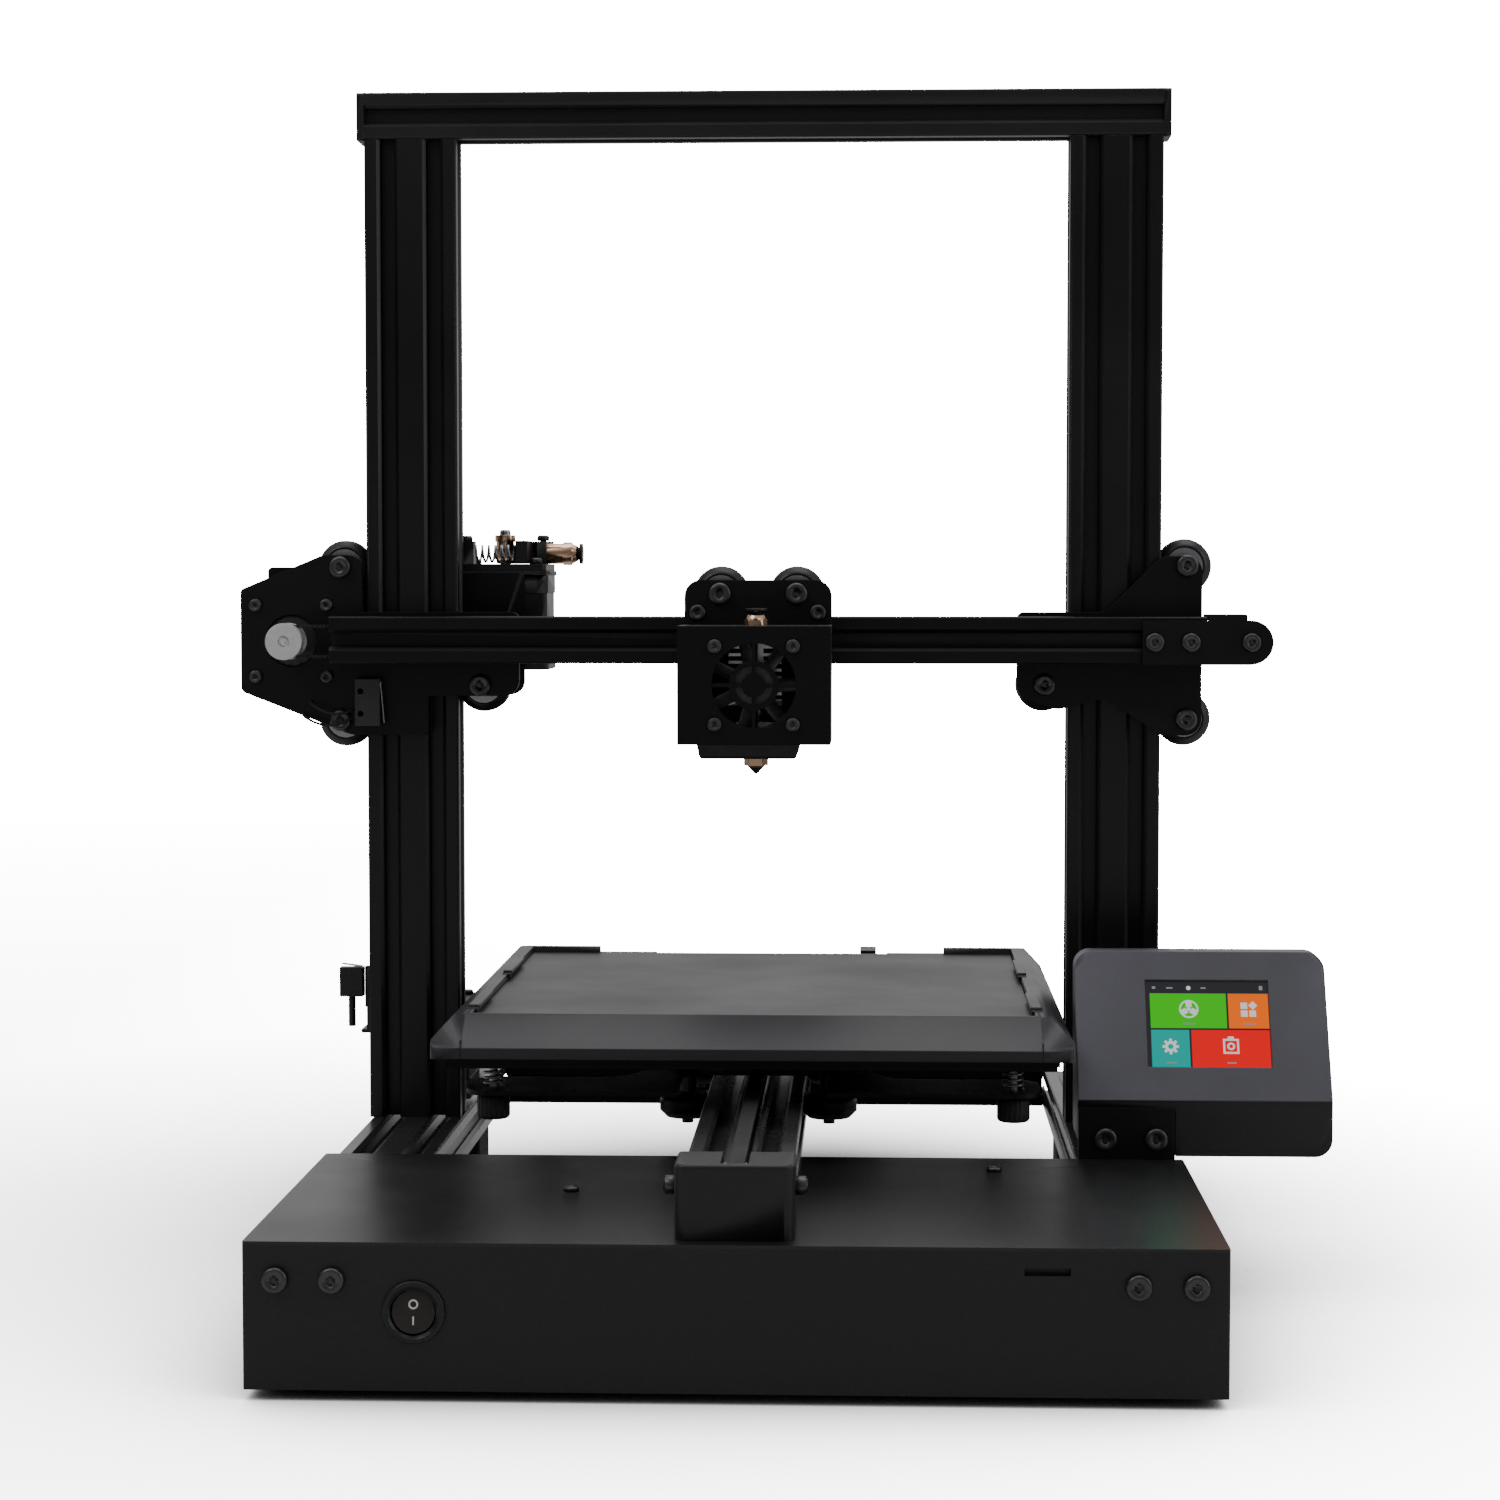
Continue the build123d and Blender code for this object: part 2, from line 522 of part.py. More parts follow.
def display_housing():
    """A wedge-shaped shell, black below the fold, and the leaning bezel on its face."""
    top_y = DISPLAY_FRONT + DISPLAY_LEAN
    side = [
        (DISPLAY_FRONT, DISPLAY_BOTTOM),
        (DISPLAY_FRONT, DISPLAY_FOLD),
        (top_y, DISPLAY_TOP),
        (top_y + 11, DISPLAY_TOP),
        (DISPLAY_FRONT + 34, DISPLAY_BOTTOM),
    ]
    width = DISPLAY_RIGHT - DISPLAY_LEFT
    section = Plane.YZ.offset(DISPLAY_LEFT) * Polygon(*side, align=None)
    wedge = extrude(section, width, dir=(1, 0, 0))
    corner = Plane.XZ * Pos((DISPLAY_LEFT + DISPLAY_RIGHT) / 2, (DISPLAY_BOTTOM + DISPLAY_TOP) / 2)
    outline = corner * RectangleRounded(width, DISPLAY_TOP - DISPLAY_BOTTOM, 7)
    wedge = wedge & extrude(outline, 200, both=True)
    face = display_frame()
    slope_length = Vector(0, DISPLAY_LEAN, DISPLAY_TOP - DISPLAY_FOLD).length
    skin = face.location * Pos(width / 2, slope_length / 2, -3.5) * Box(width + 2, slope_length + 0.2, 7)
    bezel = wedge & skin
    shell = wedge - skin
    hollow = offset(Polygon(*side, align=None), -2.2, kind=Kind.INTERSECTION)
    shell -= extrude(Plane.YZ.offset(DISPLAY_LEFT + 2.2) * hollow, width - 4.4, dir=(1, 0, 0))
    window = face.location * Pos(*SCREEN_CENTRE, -1) * Box(*SCREEN_SIZE, 8)
    pocket = face.location * Pos(*SCREEN_CENTRE, -4.9) * Box(SCREEN_SIZE[0] + 5, SCREEN_SIZE[1] + 5, 6.2)
    bezel = bezel - window - pocket
    front = DISPLAY_FRONT
    tab = block(DISPLAY_LEFT - 1, DISPLAY_LEFT + 38.9, front - 1, front + 2.1, 50, DISPLAY_FOLD - 2.9)
    return [bezel, shell - tab]


def display_screen():
    face = display_frame()
    glass = face.location * Pos(*SCREEN_CENTRE, -2.4) * Box(SCREEN_SIZE[0] + 4, SCREEN_SIZE[1] + 4, 1.2)
    return [glass]


def frame_screws():
    """The button-headed screws that hold the frame together."""
    parts = []
    for side in (-1, 1):
        for offset_x in (-10, 10):
            point = (side * RAIL_X + offset_x, CASE_FRONT, RAIL_Z)
            parts.append(bolt(point, (0, -1, 0), 1.9, 9, 4.7, 2.6))
    for x, y in LID_SCREWS:
        parts.append(bolt((x, y, CASE_TOP), (0, 0, 1), 1.5, 8, 3.0, 1.8))
    for x, z in DISPLAY_SCREWS:
        parts.append(bolt((x, DISPLAY_FRONT, z), (0, -1, 0), 2.4, 2, 4.6, 2.6))
    for point in motor_screw_points((8.0, Y_MOTOR_Y, Y_BELT_Z), (-1, 0, 0)):
        parts.append(bolt(point, (-1, 0, 0), 1.45, 8, 2.8, 2.0))
    for point in motor_screw_points((*SCREW_XY, LIFT_MOTOR_TOP + PLATE), (0, 0, 1), up=(0, 1, 0)):
        parts.append(bolt(point, (0, 0, 1), 1.45, 8, 2.8, 2.0))
    return parts


def lead_screw():
    """The lift screw with its coupler and the motor shaft below it."""
    base = LIFT_MOTOR_TOP
    point = (*SCREW_XY, base)
    shaft = rod(2.5, (*SCREW_XY, base - 30), (0, 0, 1), 48)
    coupler = ring(9.5, 2.5, (*SCREW_XY, base + 6), (0, 0, 1), 25)
    coupler -= rod(4.0, (*SCREW_XY, base + 20), (0, 0, 1), 30)
    for level in (12, 17, 22):
        groove = ring(11, 6.5, (point[0], point[1], base + 6 + level - 6), (0, 0, 1), 1.2)
        coupler -= groove
    screw = rod(4.0, (*SCREW_XY, base + 20), (0, 0, 1), 345)
    screw = chamfer(screw.edges().group_by(Axis.Z)[-1], 0.8)
    return [shaft, coupler, screw]


def y_pulley():
    return pulley((0, Y_MOTOR_Y, Y_BELT_Z), (-1, 0, 0), -30, 38)


def y_idler():
    return idler((0, Y_IDLER_Y, Y_BELT_Z), (1, 0, 0))


# ---------------------------------------------------------------- gantry


def x_beam():
    length = BEAM_RIGHT - BEAM_LEFT
    middle = (BEAM_RIGHT + BEAM_LEFT) / 2
    return [Pos(middle, BEAM_Y, BEAM_Z) * Rot(0, 90, 0) * profile_bar(1, length)]


def plate_from(points, radii, y_front, thickness):
    """A flat plate standing in the XZ plane, with rounded corners."""
    face = Polygon(*points, align=None)
    for (x, z), radius in zip(points, radii):
        if radius:
            corner = face.vertices().sort_by_distance((x, z, 0))[0]
            face = fillet(corner, radius)
    return extrude(Pos(0, y_front, 0) * (Plane.XZ * face), thickness, dir=(0, 1, 0))


def gantry_plates():
    """Left and right plates in front of the uprights, the left rear plate and the belt tensioner."""
    left_points = [
        (-226.4, 284.6), (-190.5, 299.6), (-173.5, 299.6), (-173.0, 275.0), (-105.0, 275.0),
        (-105.0, 238.6), (-144.5, 238.6), (-144.5, 221.6), (-178.0, 221.6), (-226.4, 240.4),
    ]
    left_radii = [2, 8, 6, 0, 3, 7, 0, 2, 12, 3]
    left = plate_from(left_points, left_radii, PLATE_FRONT, PLATE)
    right_points = [
        (189.3, 299.0), (189.3, 222.0), (172.0, 222.0), (148.0, 238.0), (128.0, 233.0),
        (110.0, 238.0), (110.0, 275.0), (148.0, 275.0), (172.0, 299.0),
    ]
    right_radii = [7, 7, 6, 8, 6, 8, 3, 8, 8]
    right = plate_from(right_points, right_radii, PLATE_FRONT, PLATE)
    rear_points = [
        (-220.0, 286.0), (-220.0, 294.5), (-197.0, 294.5), (-191.0, 302.0), (-172.0, 302.0),
        (-158.0, 292.0), (-106.0, 292.0), (-106.0, 238.2), (-140.0, 238.2), (-150.0, 220.0),
        (-191.5, 220.0), (-191.5, 237.0), (-179.0, 237.0), (-179.0, 286.0),
    ]
    rear_radii = [0, 2, 2, 4, 5, 4, 2, 6, 3, 4, 6, 3, 3, 2]
    rear = plate_from(rear_points, rear_radii, 13.1, PLATE)
    rear += block(-141.0, -96.5, 16, 61, EXTRUDER_TOP, EXTRUDER_TOP + 2)
    rear += block(SCREW_XY[0] - 16, SCREW_XY[0] + 11, 16, 50, NUT_TOP, NUT_TOP + PLATE)
    rear -= rod(5.3, (*SCREW_XY, NUT_TOP - 1), (0, 0, 1), 6)
    rear -= rod(11.3, (*EXTRUDER, EXTRUDER_TOP - 1), (0, 0, 1), 6)
    for x, z in LEFT_WHEELS:
        left -= rod(AXLE_BORE, (x, PLATE_FRONT - 1, z), (0, 1, 0), 5)
        rear -= rod(AXLE_BORE, (x, 12, z), (0, 1, 0), 5)
    for x, z in RIGHT_WHEELS:
        right -= rod(AXLE_BORE, (x, PLATE_FRONT - 1, z), (0, 1, 0), 5)
    left -= rod(11.3, (X_MOTOR[0], PLATE_FRONT - 1, X_MOTOR[1]), (0, 1, 0), 5)
    for point in motor_screw_points((X_MOTOR[0], PLATE_FRONT - 1, X_MOTOR[1]), (0, -1, 0)):
        left -= rod(1.7, point, (0, 1, 0), 5)
    for x, y in EXTRUDER_SCREWS:
        rear -= rod(1.7, (x, y, EXTRUDER_TOP - 1), (0, 0, 1), 5)
    for x, z in CLAMP_SCREWS:
        left -= rod(2.1, (x, PLATE_FRONT - 1, z), (0, 1, 0), 5)
        right -= rod(2.1, (x, PLATE_FRONT - 1, z), (0, 1, 0), 5)
    front = BEAM_Y - CELL / 2
    tensioner = block(162, 208, front - PLATE, front, 252.9, 271.6)
    tensioner += rod(9.35, (X_IDLER[0], front - PLATE, X_IDLER[1]), (0, 1, 0), PLATE)
    tensioner += block(190, 206, front, PLATE_FRONT + 2, 271.6, 274.2)
    tensioner += block(190, 206, front - PLATE, front, 270, 274.2)
    tensioner += block(196, 206, PLATE_FRONT, PLATE_FRONT + 2, X_IDLER[1], 274.2)
    tensioner += rod(6.0, (X_IDLER[0] - 2, PLATE_FRONT, X_IDLER[1]), (0, 1, 0), 2)
    tensioner -= rod(AXLE_BORE, (X_IDLER[0], front - PLATE - 1, X_IDLER[1]), (0, 1, 0), 30)
    for x in TENSION_SCREWS:
        tensioner -= rod(2.6, (x, front - PLATE - 1, X_IDLER[1]), (0, 1, 0), 5)
    return [left, right, rear, tensioner]


def gantry_motors():
    """The carriage motor on the left plate, and the filament motor standing behind the upright."""
    x_motor = motor((X_MOTOR[0], PLATE_FRONT + PLATE, X_MOTOR[1]), (0, -1, 0), 40, up=(0, 0, 1))
    extruder = motor((*EXTRUDER, EXTRUDER_TOP), (0, 0, 1), 42, up=(0, 1, 0))
    return x_motor + extruder


def x_belt():
    return [belt_loop(X_MOTOR[0], X_IDLER[0], X_MOTOR[1], "Y", BEAM_Y - BELT_WIDTH / 2)]


def x_endstop():
    """The limit switch on the left plate, with its two leads looping back."""
    box = block(-175.6, -164.8, PLATE_FRONT - 6.4, PLATE_FRONT, 225.7, 246.1)
    for z in (231.0, 240.8):
        box -= rod(1.3, (-173.2, PLATE_FRONT - 7, z), (0, 1, 0), 9)
    lever = Pos(-163.9, PLATE_FRONT - 3.2, 236) * Rot(0, -5, 0) * Box(0.5, 4, 18)
    return [box, lever]


def feeder_body():
    """The filament feeder's base, with its spring post and the block its outlet is screwed in."""
    x, y = EXTRUDER
    low = EXTRUDER_TOP + 2
    base = block(x - 20.5, x + 20.5, y - 20.5, y + 20.5, low, low + 3)
    base = fillet(base.edges().filter_by(Axis.Z), 3)
    base -= rod(11.3, (x, y, low - 1), (0, 0, 1), 5)
    base += block(x + 14.2, x + 18.4, y, y + 9.9, low + 3, low + 13)
    base += block(x - 20.2, x - 11.7, y - 20.2, y - 11, low + 3, low + 13)
    base -= rod(3.1, (x + 10, FILAMENT_Y, FILAMENT_Z), (1, 0, 0), 12)
    for screw_x, screw_y in EXTRUDER_SCREWS:
        base -= rod(1.7, (screw_x, screw_y, low - 1), (0, 0, 1), 18)
    return [base]


def brass_fittings():
    """The lift nut and the tube fitting at the feeder's outlet."""
    flange = ring(9.6, 4.08, (*SCREW_XY, NUT_TOP - 3.5), (0, 0, 1), 3.5)
    flange += ring(5.1, 4.08, (*SCREW_XY, NUT_TOP - 12), (0, 0, 1), 15)
    x = EXTRUDER[0] + 18.4
    fitting = tube_fitting((x, FILAMENT_Y, FILAMENT_Z), (1, 0, 0), 7.4, 4.0)
    return [flange, fitting]


def tube_fitting(point, axis, barrel, thread):
    """A push-in fitting for the filament tube: thread, barrel, hexagon, nose and collet."""
    parts = rod(3.0, (0, 0, -thread), (0, 0, 1), thread + 1)
    parts += rod(4.6, (0, 0, 0), (0, 0, 1), barrel)
    parts += hexagon(5.2, (0, 0, barrel), (0, 0, 1), 4)
    parts += Pos(0, 0, barrel + 4) * Cone(4.6, 3.3, 2.6, align=(Align.CENTER, Align.CENTER, Align.MIN))
    parts += rod(2.9, (0, 0, barrel + 6), (0, 0, 1), 2)
    parts += rod(4.6, (0, 0, barrel + 7.4), (0, 0, 1), 1.4)
    parts -= rod(TUBE_BORE, (0, 0, -2), (0, 0, 1), 30)
    parts -= rod(1.2, (0, 0, -8), (0, 0, 1), 30)
    return along(point, axis) * parts


def drive_gear():
    """The toothed brass wheel on the filament motor's shaft."""
    low = EXTRUDER_TOP + 5.3
    gear = ring(4.0, 2.5, (*EXTRUDER, low), (0, 0, 1), 9.7)
    gear += ring(4.6, 2.5, (*EXTRUDER, low + 9.7), (0, 0, 1), 3)
    for index in range(24):
        angle = radians(15 * index)
        x = EXTRUDER[0] + 4.1 * cos(angle)
        y = EXTRUDER[1] + 4.1 * sin(angle)
        gear -= rod(0.32, (x, y, FILAMENT_Z - 2), (0, 0, 1), 4)
    shaft = rod(2.5, (*EXTRUDER, EXTRUDER_TOP - 30), (0, 0, 1), 50.5)
    shaft = fillet(shaft.edges().group_by(Axis.Z)[-1], 1.2)
    return [gear, shaft]


def feeder_lever():
    """The sprung arm that presses the filament on the gear with its bearing."""
    low = EXTRUDER_TOP + 5.3
    x, y = EXTRUDER
    bearing_y = FILAMENT_Y + 7.5
    arm = block(LEVER_LEFT, x + 12.2, y - 19.9, LEVER_PIVOT[1], low, low + 10)
    arm += block(x + 12.0, LEVER_PIVOT[0], y + 12.2, LEVER_PIVOT[1] + 4, low, low + 10)
    arm += rod(4.8, (*LEVER_PIVOT, low), (0, 0, 1), 10)
    arm -= rod(7.0, (x, bearing_y, low - 1), (0, 0, 1), 12)
    arm += block(x - 3, LEVER_LEFT + 1, bearing_y - 3, bearing_y + 5, low, low + 1.6)
    arm += rod(3.6, (x, bearing_y, low), (0, 0, 1), 1.9)
    arm -= rod(1.5, (*LEVER_PIVOT, low - 1), (0, 0, 1), 12)
    arm -= rod(1.6, (x, FILAMENT_Y, FILAMENT_Z), (1, 0, 0), 14)
    bearing = ring(6.5, 2.4, (x, bearing_y, low + 1.9), (0, 0, 1), 5)
    pin = rod(2.4, (x, bearing_y, low + 1.9), (0, 0, 1), 6.2)
    return [arm, bearing, pin]


def lever_spring():
    """The coil spring between the post and the arm."""
    x, y = EXTRUDER
    start = x - 11.6
    length = LEVER_LEFT - 0.1 - start
    coil = helix_spring(3.5, 0.55, length, 6)
    return [along((start, y - 17.2, EXTRUDER_TOP + 9.5), (1, 0, 0)) * coil]


def x_pulley():
    point = (X_MOTOR[0], BEAM_Y, X_MOTOR[1])
    return pulley(point, (0, -1, 0), -34, 42)


def x_idler():
    return idler((X_IDLER[0], BEAM_Y, X_IDLER[1]), (0, 1, 0))


def gantry_screws():
    """Wheel axles with their sleeves and nuts, and the screws of the plates and motors."""
    parts = []
    back = PLATE_FRONT + PLATE
    gap = WHEEL_HALF + CLEAR
    for x, z in LEFT_WHEELS:
        parts.append(bolt((x, PLATE_FRONT, z), (0, -1, 0), AXLE_RADIUS, 37, 4.7, 2.7))
        parts.append(ring(4.0, AXLE_BORE, (x, back, z), (0, 1, 0), -back - gap))
        parts.append(ring(4.0, AXLE_BORE, (x, gap, z), (0, 1, 0), 13.1 - gap))
        parts.append(nut((x, 16.1, z)))
    for x, z in RIGHT_WHEELS:
        parts.append(bolt((x, PLATE_FRONT, z), (0, -1, 0), AXLE_RADIUS, 28, 4.7, 2.7))
        parts.append(ring(4.0, AXLE_BORE, (x, back, z), (0, 1, 0), -back - gap))
        parts.append(nut((x, gap, z)))
    for point in motor_screw_points((X_MOTOR[0], PLATE_FRONT, X_MOTOR[1]), (0, -1, 0)):
        parts.append(bolt(point, (0, -1, 0), 1.45, 8, 2.8, 2.0))
    for (x, y), raised in zip(EXTRUDER_SCREWS, (0, 10.6, 10, 0)):
        level = EXTRUDER_TOP + 5 + raised
        parts.append(bolt((x, y, level), (0, 0, 1), 1.45, 10 + raised, 2.8, 2.6))
    front = BEAM_Y - CELL / 2 - PLATE
    for x in TENSION_SCREWS:
        parts.append(bolt((x, front, X_IDLER[1]), (0, -1, 0), 2.2, 7, 4.0, 2.2))
    axle = bolt((X_IDLER[0], front, X_IDLER[1]), (0, -1, 0), AXLE_RADIUS, 27, 4.0, 2.2)
    parts.append(axle)
    for x, z in CLAMP_SCREWS:
        parts.append(bolt((x, back, z), (0, 1, 0), 2.0, 7, 3.6, 2.2))
    return parts


def nut(point):
    """A hexagon nut on an axle that runs along Y."""
    bore = rod(AXLE_BORE, (point[0], point[1] - 1, point[2]), (0, 1, 0), 6)
    return hexagon(4.5, point, (0, 1, 0), 4) - bore


# ---------------------------------------------------------------- carriage


def carriage_plate():
    top = 288.8
    low = 219.0
    half = COVER_HALF - 0.2
    left = CARRIAGE_X - half
    right = CARRIAGE_X + half
    points = [(left, low), (right, low), (right, top), (left, top)]
    plate = plate_from(points, [3, 3, 7, 7], CARRIAGE_BACK - PLATE, PLATE)
    for x, z in CARRIAGE_WHEELS:
        plate -= rod(AXLE_BORE, (x, CARRIAGE_BACK - PLATE - 1, z), (0, 1, 0), 6)
    for x in COVER_SCREWS:
        plate -= rod(1.6, (x, CARRIAGE_BACK - PLATE - 1, 275.0), (0, 1, 0), 6)
    shelf = block(CARRIAGE_X - 13, CARRIAGE_X + 13, NOZZLE_Y + 11.2, CARRIAGE_BACK - PLATE, 249, 262)
    return [plate, shelf]


def hotend_cover():
    """The folded cover with its finger guard, the fan frame behind it and the duct below."""
    left = CARRIAGE_X - COVER_HALF
    right = CARRIAGE_X + COVER_HALF
    back = CARRIAGE_BACK - PLATE
    wall = 1.5
    cover = block(left, right, COVER_FRONT, back, COVER_BOTTOM, COVER_TOP)
    inside = COVER_FRONT + wall
    cover -= block(left + wall, right - wall, inside, back + 1, COVER_BOTTOM - 1, COVER_TOP - wall)
    cover -= rod(7.5, (CARRIAGE_X, NOZZLE_Y, COVER_TOP - 5), (0, 0, 1), 10)
    opening = rod(17.3, (CARRIAGE_X, COVER_FRONT - 1, FAN_Z), (0, 1, 0), 3)
    guard = ring(10.2, 8.1, (CARRIAGE_X, COVER_FRONT, FAN_Z), (0, 1, 0), wall)
    guard += rod(4.9, (CARRIAGE_X, COVER_FRONT, FAN_Z), (0, 1, 0), wall)
    bar = Box(35, wall, 1.5) + Box(1.5, wall, 35)
    guard += Pos(CARRIAGE_X, COVER_FRONT + wall / 2, FAN_Z) * bar
    cover = cover - opening + guard
    for dx in (-16, 16):
        for dz in (-16, 16):
            cover -= rod(1.7, (CARRIAGE_X + dx, COVER_FRONT - 1, FAN_Z + dz), (0, 1, 0), 4)
    frame_front = COVER_FRONT + wall
    fan = block(CARRIAGE_X - 20, CARRIAGE_X + 20, frame_front, frame_front + 10, FAN_Z - 20, FAN_Z + 20)
    fan = fillet(fan.edges().filter_by(Axis.Y), 2.5)
    fan -= rod(18.6, (CARRIAGE_X, frame_front - 1, FAN_Z), (0, 1, 0), 12)
    strut = Pos(CARRIAGE_X, frame_front + 9, FAN_Z) * (Box(37.6, 2, 2.4) + Box(2.4, 2, 37.6))
    fan += strut + rod(8.8, (CARRIAGE_X, frame_front + 8, FAN_Z), (0, 1, 0), 2)
    for dx in (-16, 16):
        for dz in (-16, 16):
            fan -= rod(1.6, (CARRIAGE_X + dx, frame_front - 1, FAN_Z + dz), (0, 1, 0), 12)
    fan -= rod(1.05, (CARRIAGE_X, frame_front - 1, FAN_Z), (0, 1, 0), 12)
    return [cover, fan, duct()]


def duct():
    """The open-bottomed air duct round the nozzle."""
    low = COVER_BOTTOM - 6.1
    middle = CARRIAGE_X - 2.6
    y_middle = (COVER_FRONT + CARRIAGE_BACK) / 2 - 0.6
    upper = Pos(middle, y_middle, COVER_BOTTOM) * Rectangle(42.2, 42)
    lower = Pos(middle, y_middle, low) * Rectangle(39.6, 39)
    outer = loft([lower, upper])
    outer = fillet(outer.edges().group_by(Axis.Z)[0], 1.8)
    inner = Pos(middle, y_middle, COVER_BOTTOM - 3) * Box(36.0, 35.6, 12)
    return outer - inner


def heatsink():
    """The finned cooler, the heat break and the heater block."""
    x, y = CARRIAGE_X, NOZZLE_Y
    sink = block(x - 11, x + 11, y - 11, y + 11, 237, 263)
    for index in range(7):
        z = 239.5 + 3.2 * index
        sink -= block(x - 12, x - 3.5, y - 12, y + 12, z, z + 1.8)
        sink -= block(x + 3.5, x + 12, y - 12, y + 12, z, z + 1.8)
    sink += rod(3.0, (x, y, 230), (0, 0, 1), 8)
    sink -= rod(1.1, (x, y, 229), (0, 0, 1), 40)
    sink -= rod(3.1, (x, y, 257), (0, 0, 1), 10)
    heater = block(x - 8, x + 12, y - 8, y + 8, 218.5, 230)
    heater -= rod(3.0, (x + 7, y - 9, 224), (0, 1, 0), 18)
    heater -= rod(1.1, (x, y, 217), (0, 0, 1), 20)
    cartridge = rod(2.95, (x + 7, y - 8.5, 224), (0, 1, 0), 17)
    return [sink, heater, cartridge]


def nozzle():
    """The brass nozzle, and the tube fitting on top of the cooler."""
    x, y = CARRIAGE_X, NOZZLE_Y
    tip = Pos(x, y, NOZZLE_TIP) * Cone(0.5, 3.9, 3.6, align=(Align.CENTER, Align.CENTER, Align.MIN))
    tip += hexagon(5.1, (x, y, NOZZLE_TIP + 3.6), (0, 0, 1), 6.9)
    tip -= rod(0.2, (x, y, NOZZLE_TIP - 1), (0, 0, 1), 3)
    tip -= rod(1.1, (x, y, NOZZLE_TIP + 1.6), (0, 0, 1), 20)
    fitting = tube_fitting((x, y, 263.0), (0, 0, 1), 5.2, 6.0)
    return [tip, fitting]


def fan_rotor():
    """Seven blades on a hub."""
    front = COVER_FRONT + 1.5
    hub = rod(8.4, (CARRIAGE_X, front + 1.0, FAN_Z), (0, 1, 0), 6.6)
    hub = fillet(hub.edges().group_by(Axis.Y)[0], 0.8)
    blade = Pos(12.4, 0, 0) * Rot(38, 0, 0) * Box(11.2, 7.5, 1.0)
    for index in range(7):
        turned = Rot(0, 360 / 7 * index, 0) * blade
        hub += Pos(CARRIAGE_X, front + 4.6, FAN_Z) * turned
    hub += rod(1.0, (CARRIAGE_X, front + 7, FAN_Z), (0, 1, 0), 3)
    return [hub]


def carriage_screws():
    """Wheel axles with their sleeves and nuts, and the cover's and fan's screws."""
    parts = []
    front = CARRIAGE_BACK - PLATE
    gap = WHEEL_HALF + CLEAR
    for x, z in CARRIAGE_WHEELS:
        parts.append(bolt((x, front, z), (0, -1, 0), AXLE_RADIUS, 25.4, 4.7, 2.7))
        parts.append(ring(4.0, AXLE_BORE, (x, CARRIAGE_BACK, z), (0, 1, 0), BEAM_Y - gap - CARRIAGE_BACK))
    for x in COVER_SCREWS:
        parts.append(bolt((x, front, 275.0), (0, -1, 0), 1.5, 3, 3.4, 2.0))
    for dx in (-16, 16):
        for dz in (-16, 16):
            parts.append(bolt((CARRIAGE_X + dx, COVER_FRONT, FAN_Z + dz), (0, -1, 0), 1.45, 11, 2.9, 1.8))
    return parts


# ---------------------------------------------------------------- bed


def bed_carriage():
    """The H-shaped plate on four wheels that carries the bed."""
    low = BED_CARRIAGE_TOP - 2
    shape = Rectangle(96, 2 * KNOB_Y)
    for side in (-1, 1):
        shape += Pos(0, side * (KNOB_Y - 8)) * RectangleRounded(2 * KNOB_X + 22, 38, 11)
    inner = [v for v in shape.vertices() if abs(abs(v.X) - 48) < 0.1 and abs(v.Y) < KNOB_Y]
    shape = fillet(inner, 18)
    for side in (-1, 1):
        shape -= Pos(0, side * 102) * RectangleRounded(60, 80, 8)
    plate = Pos(0, BED_Y, low) * extrude(shape, 2)
    for x, y in knob_points():
        plate -= rod(1.9, (x, y, low - 1), (0, 0, 1), 4)
    for x, y in bed_wheel_points():
        plate -= rod(AXLE_BORE, (x, y, low - 1), (0, 0, 1), 4)
    clamp = block(-9, 9, BED_Y - 12, BED_Y + 12, low + 2, low + 5)
    return [plate, clamp]


def knob_points():
    return [(i * KNOB_X, BED_Y + j * KNOB_Y) for j in (-1, 1) for i in (-1, 1)]


def bed_wheel_points():
    return [(i * BED_WHEEL[0], BED_Y + j * BED_WHEEL[1]) for j in (-1, 1) for i in (-1, 1)]


def bed_plate():
    """The heater board and the aluminium pan that the mat lies on."""
    heater = block(-122, 122, BED_Y - 122, BED_Y + 122, 93.2, 95.2)
    slab = block(-123, 123, BED_Y - 123, BED_Y + 123, 95.2, BED_SKIRT)
    pan = block(-113.6, 113.6, MAT_FRONT + 0.4, MAT_BACK - 0.4, BED_SKIRT, MAT_TOP - 1.6)
    pan -= block(-109, 109, MAT_FRONT + 5, MAT_BACK - 5, BED_SKIRT - 1, MAT_TOP - 4.6)
    for x, y in knob_points():
        heater -= rod(2.2, (x, y, 92), (0, 0, 1), 5)
        slab -= rod(2.2, (x, y, 92), (0, 0, 1), 8)
    return [heater, slab, pan]


def bed_mat():
    mat = block(-113.6, 113.6, MAT_FRONT + 0.4, MAT_BACK - 0.4, MAT_TOP - 1.6, MAT_TOP)
    return [mat]


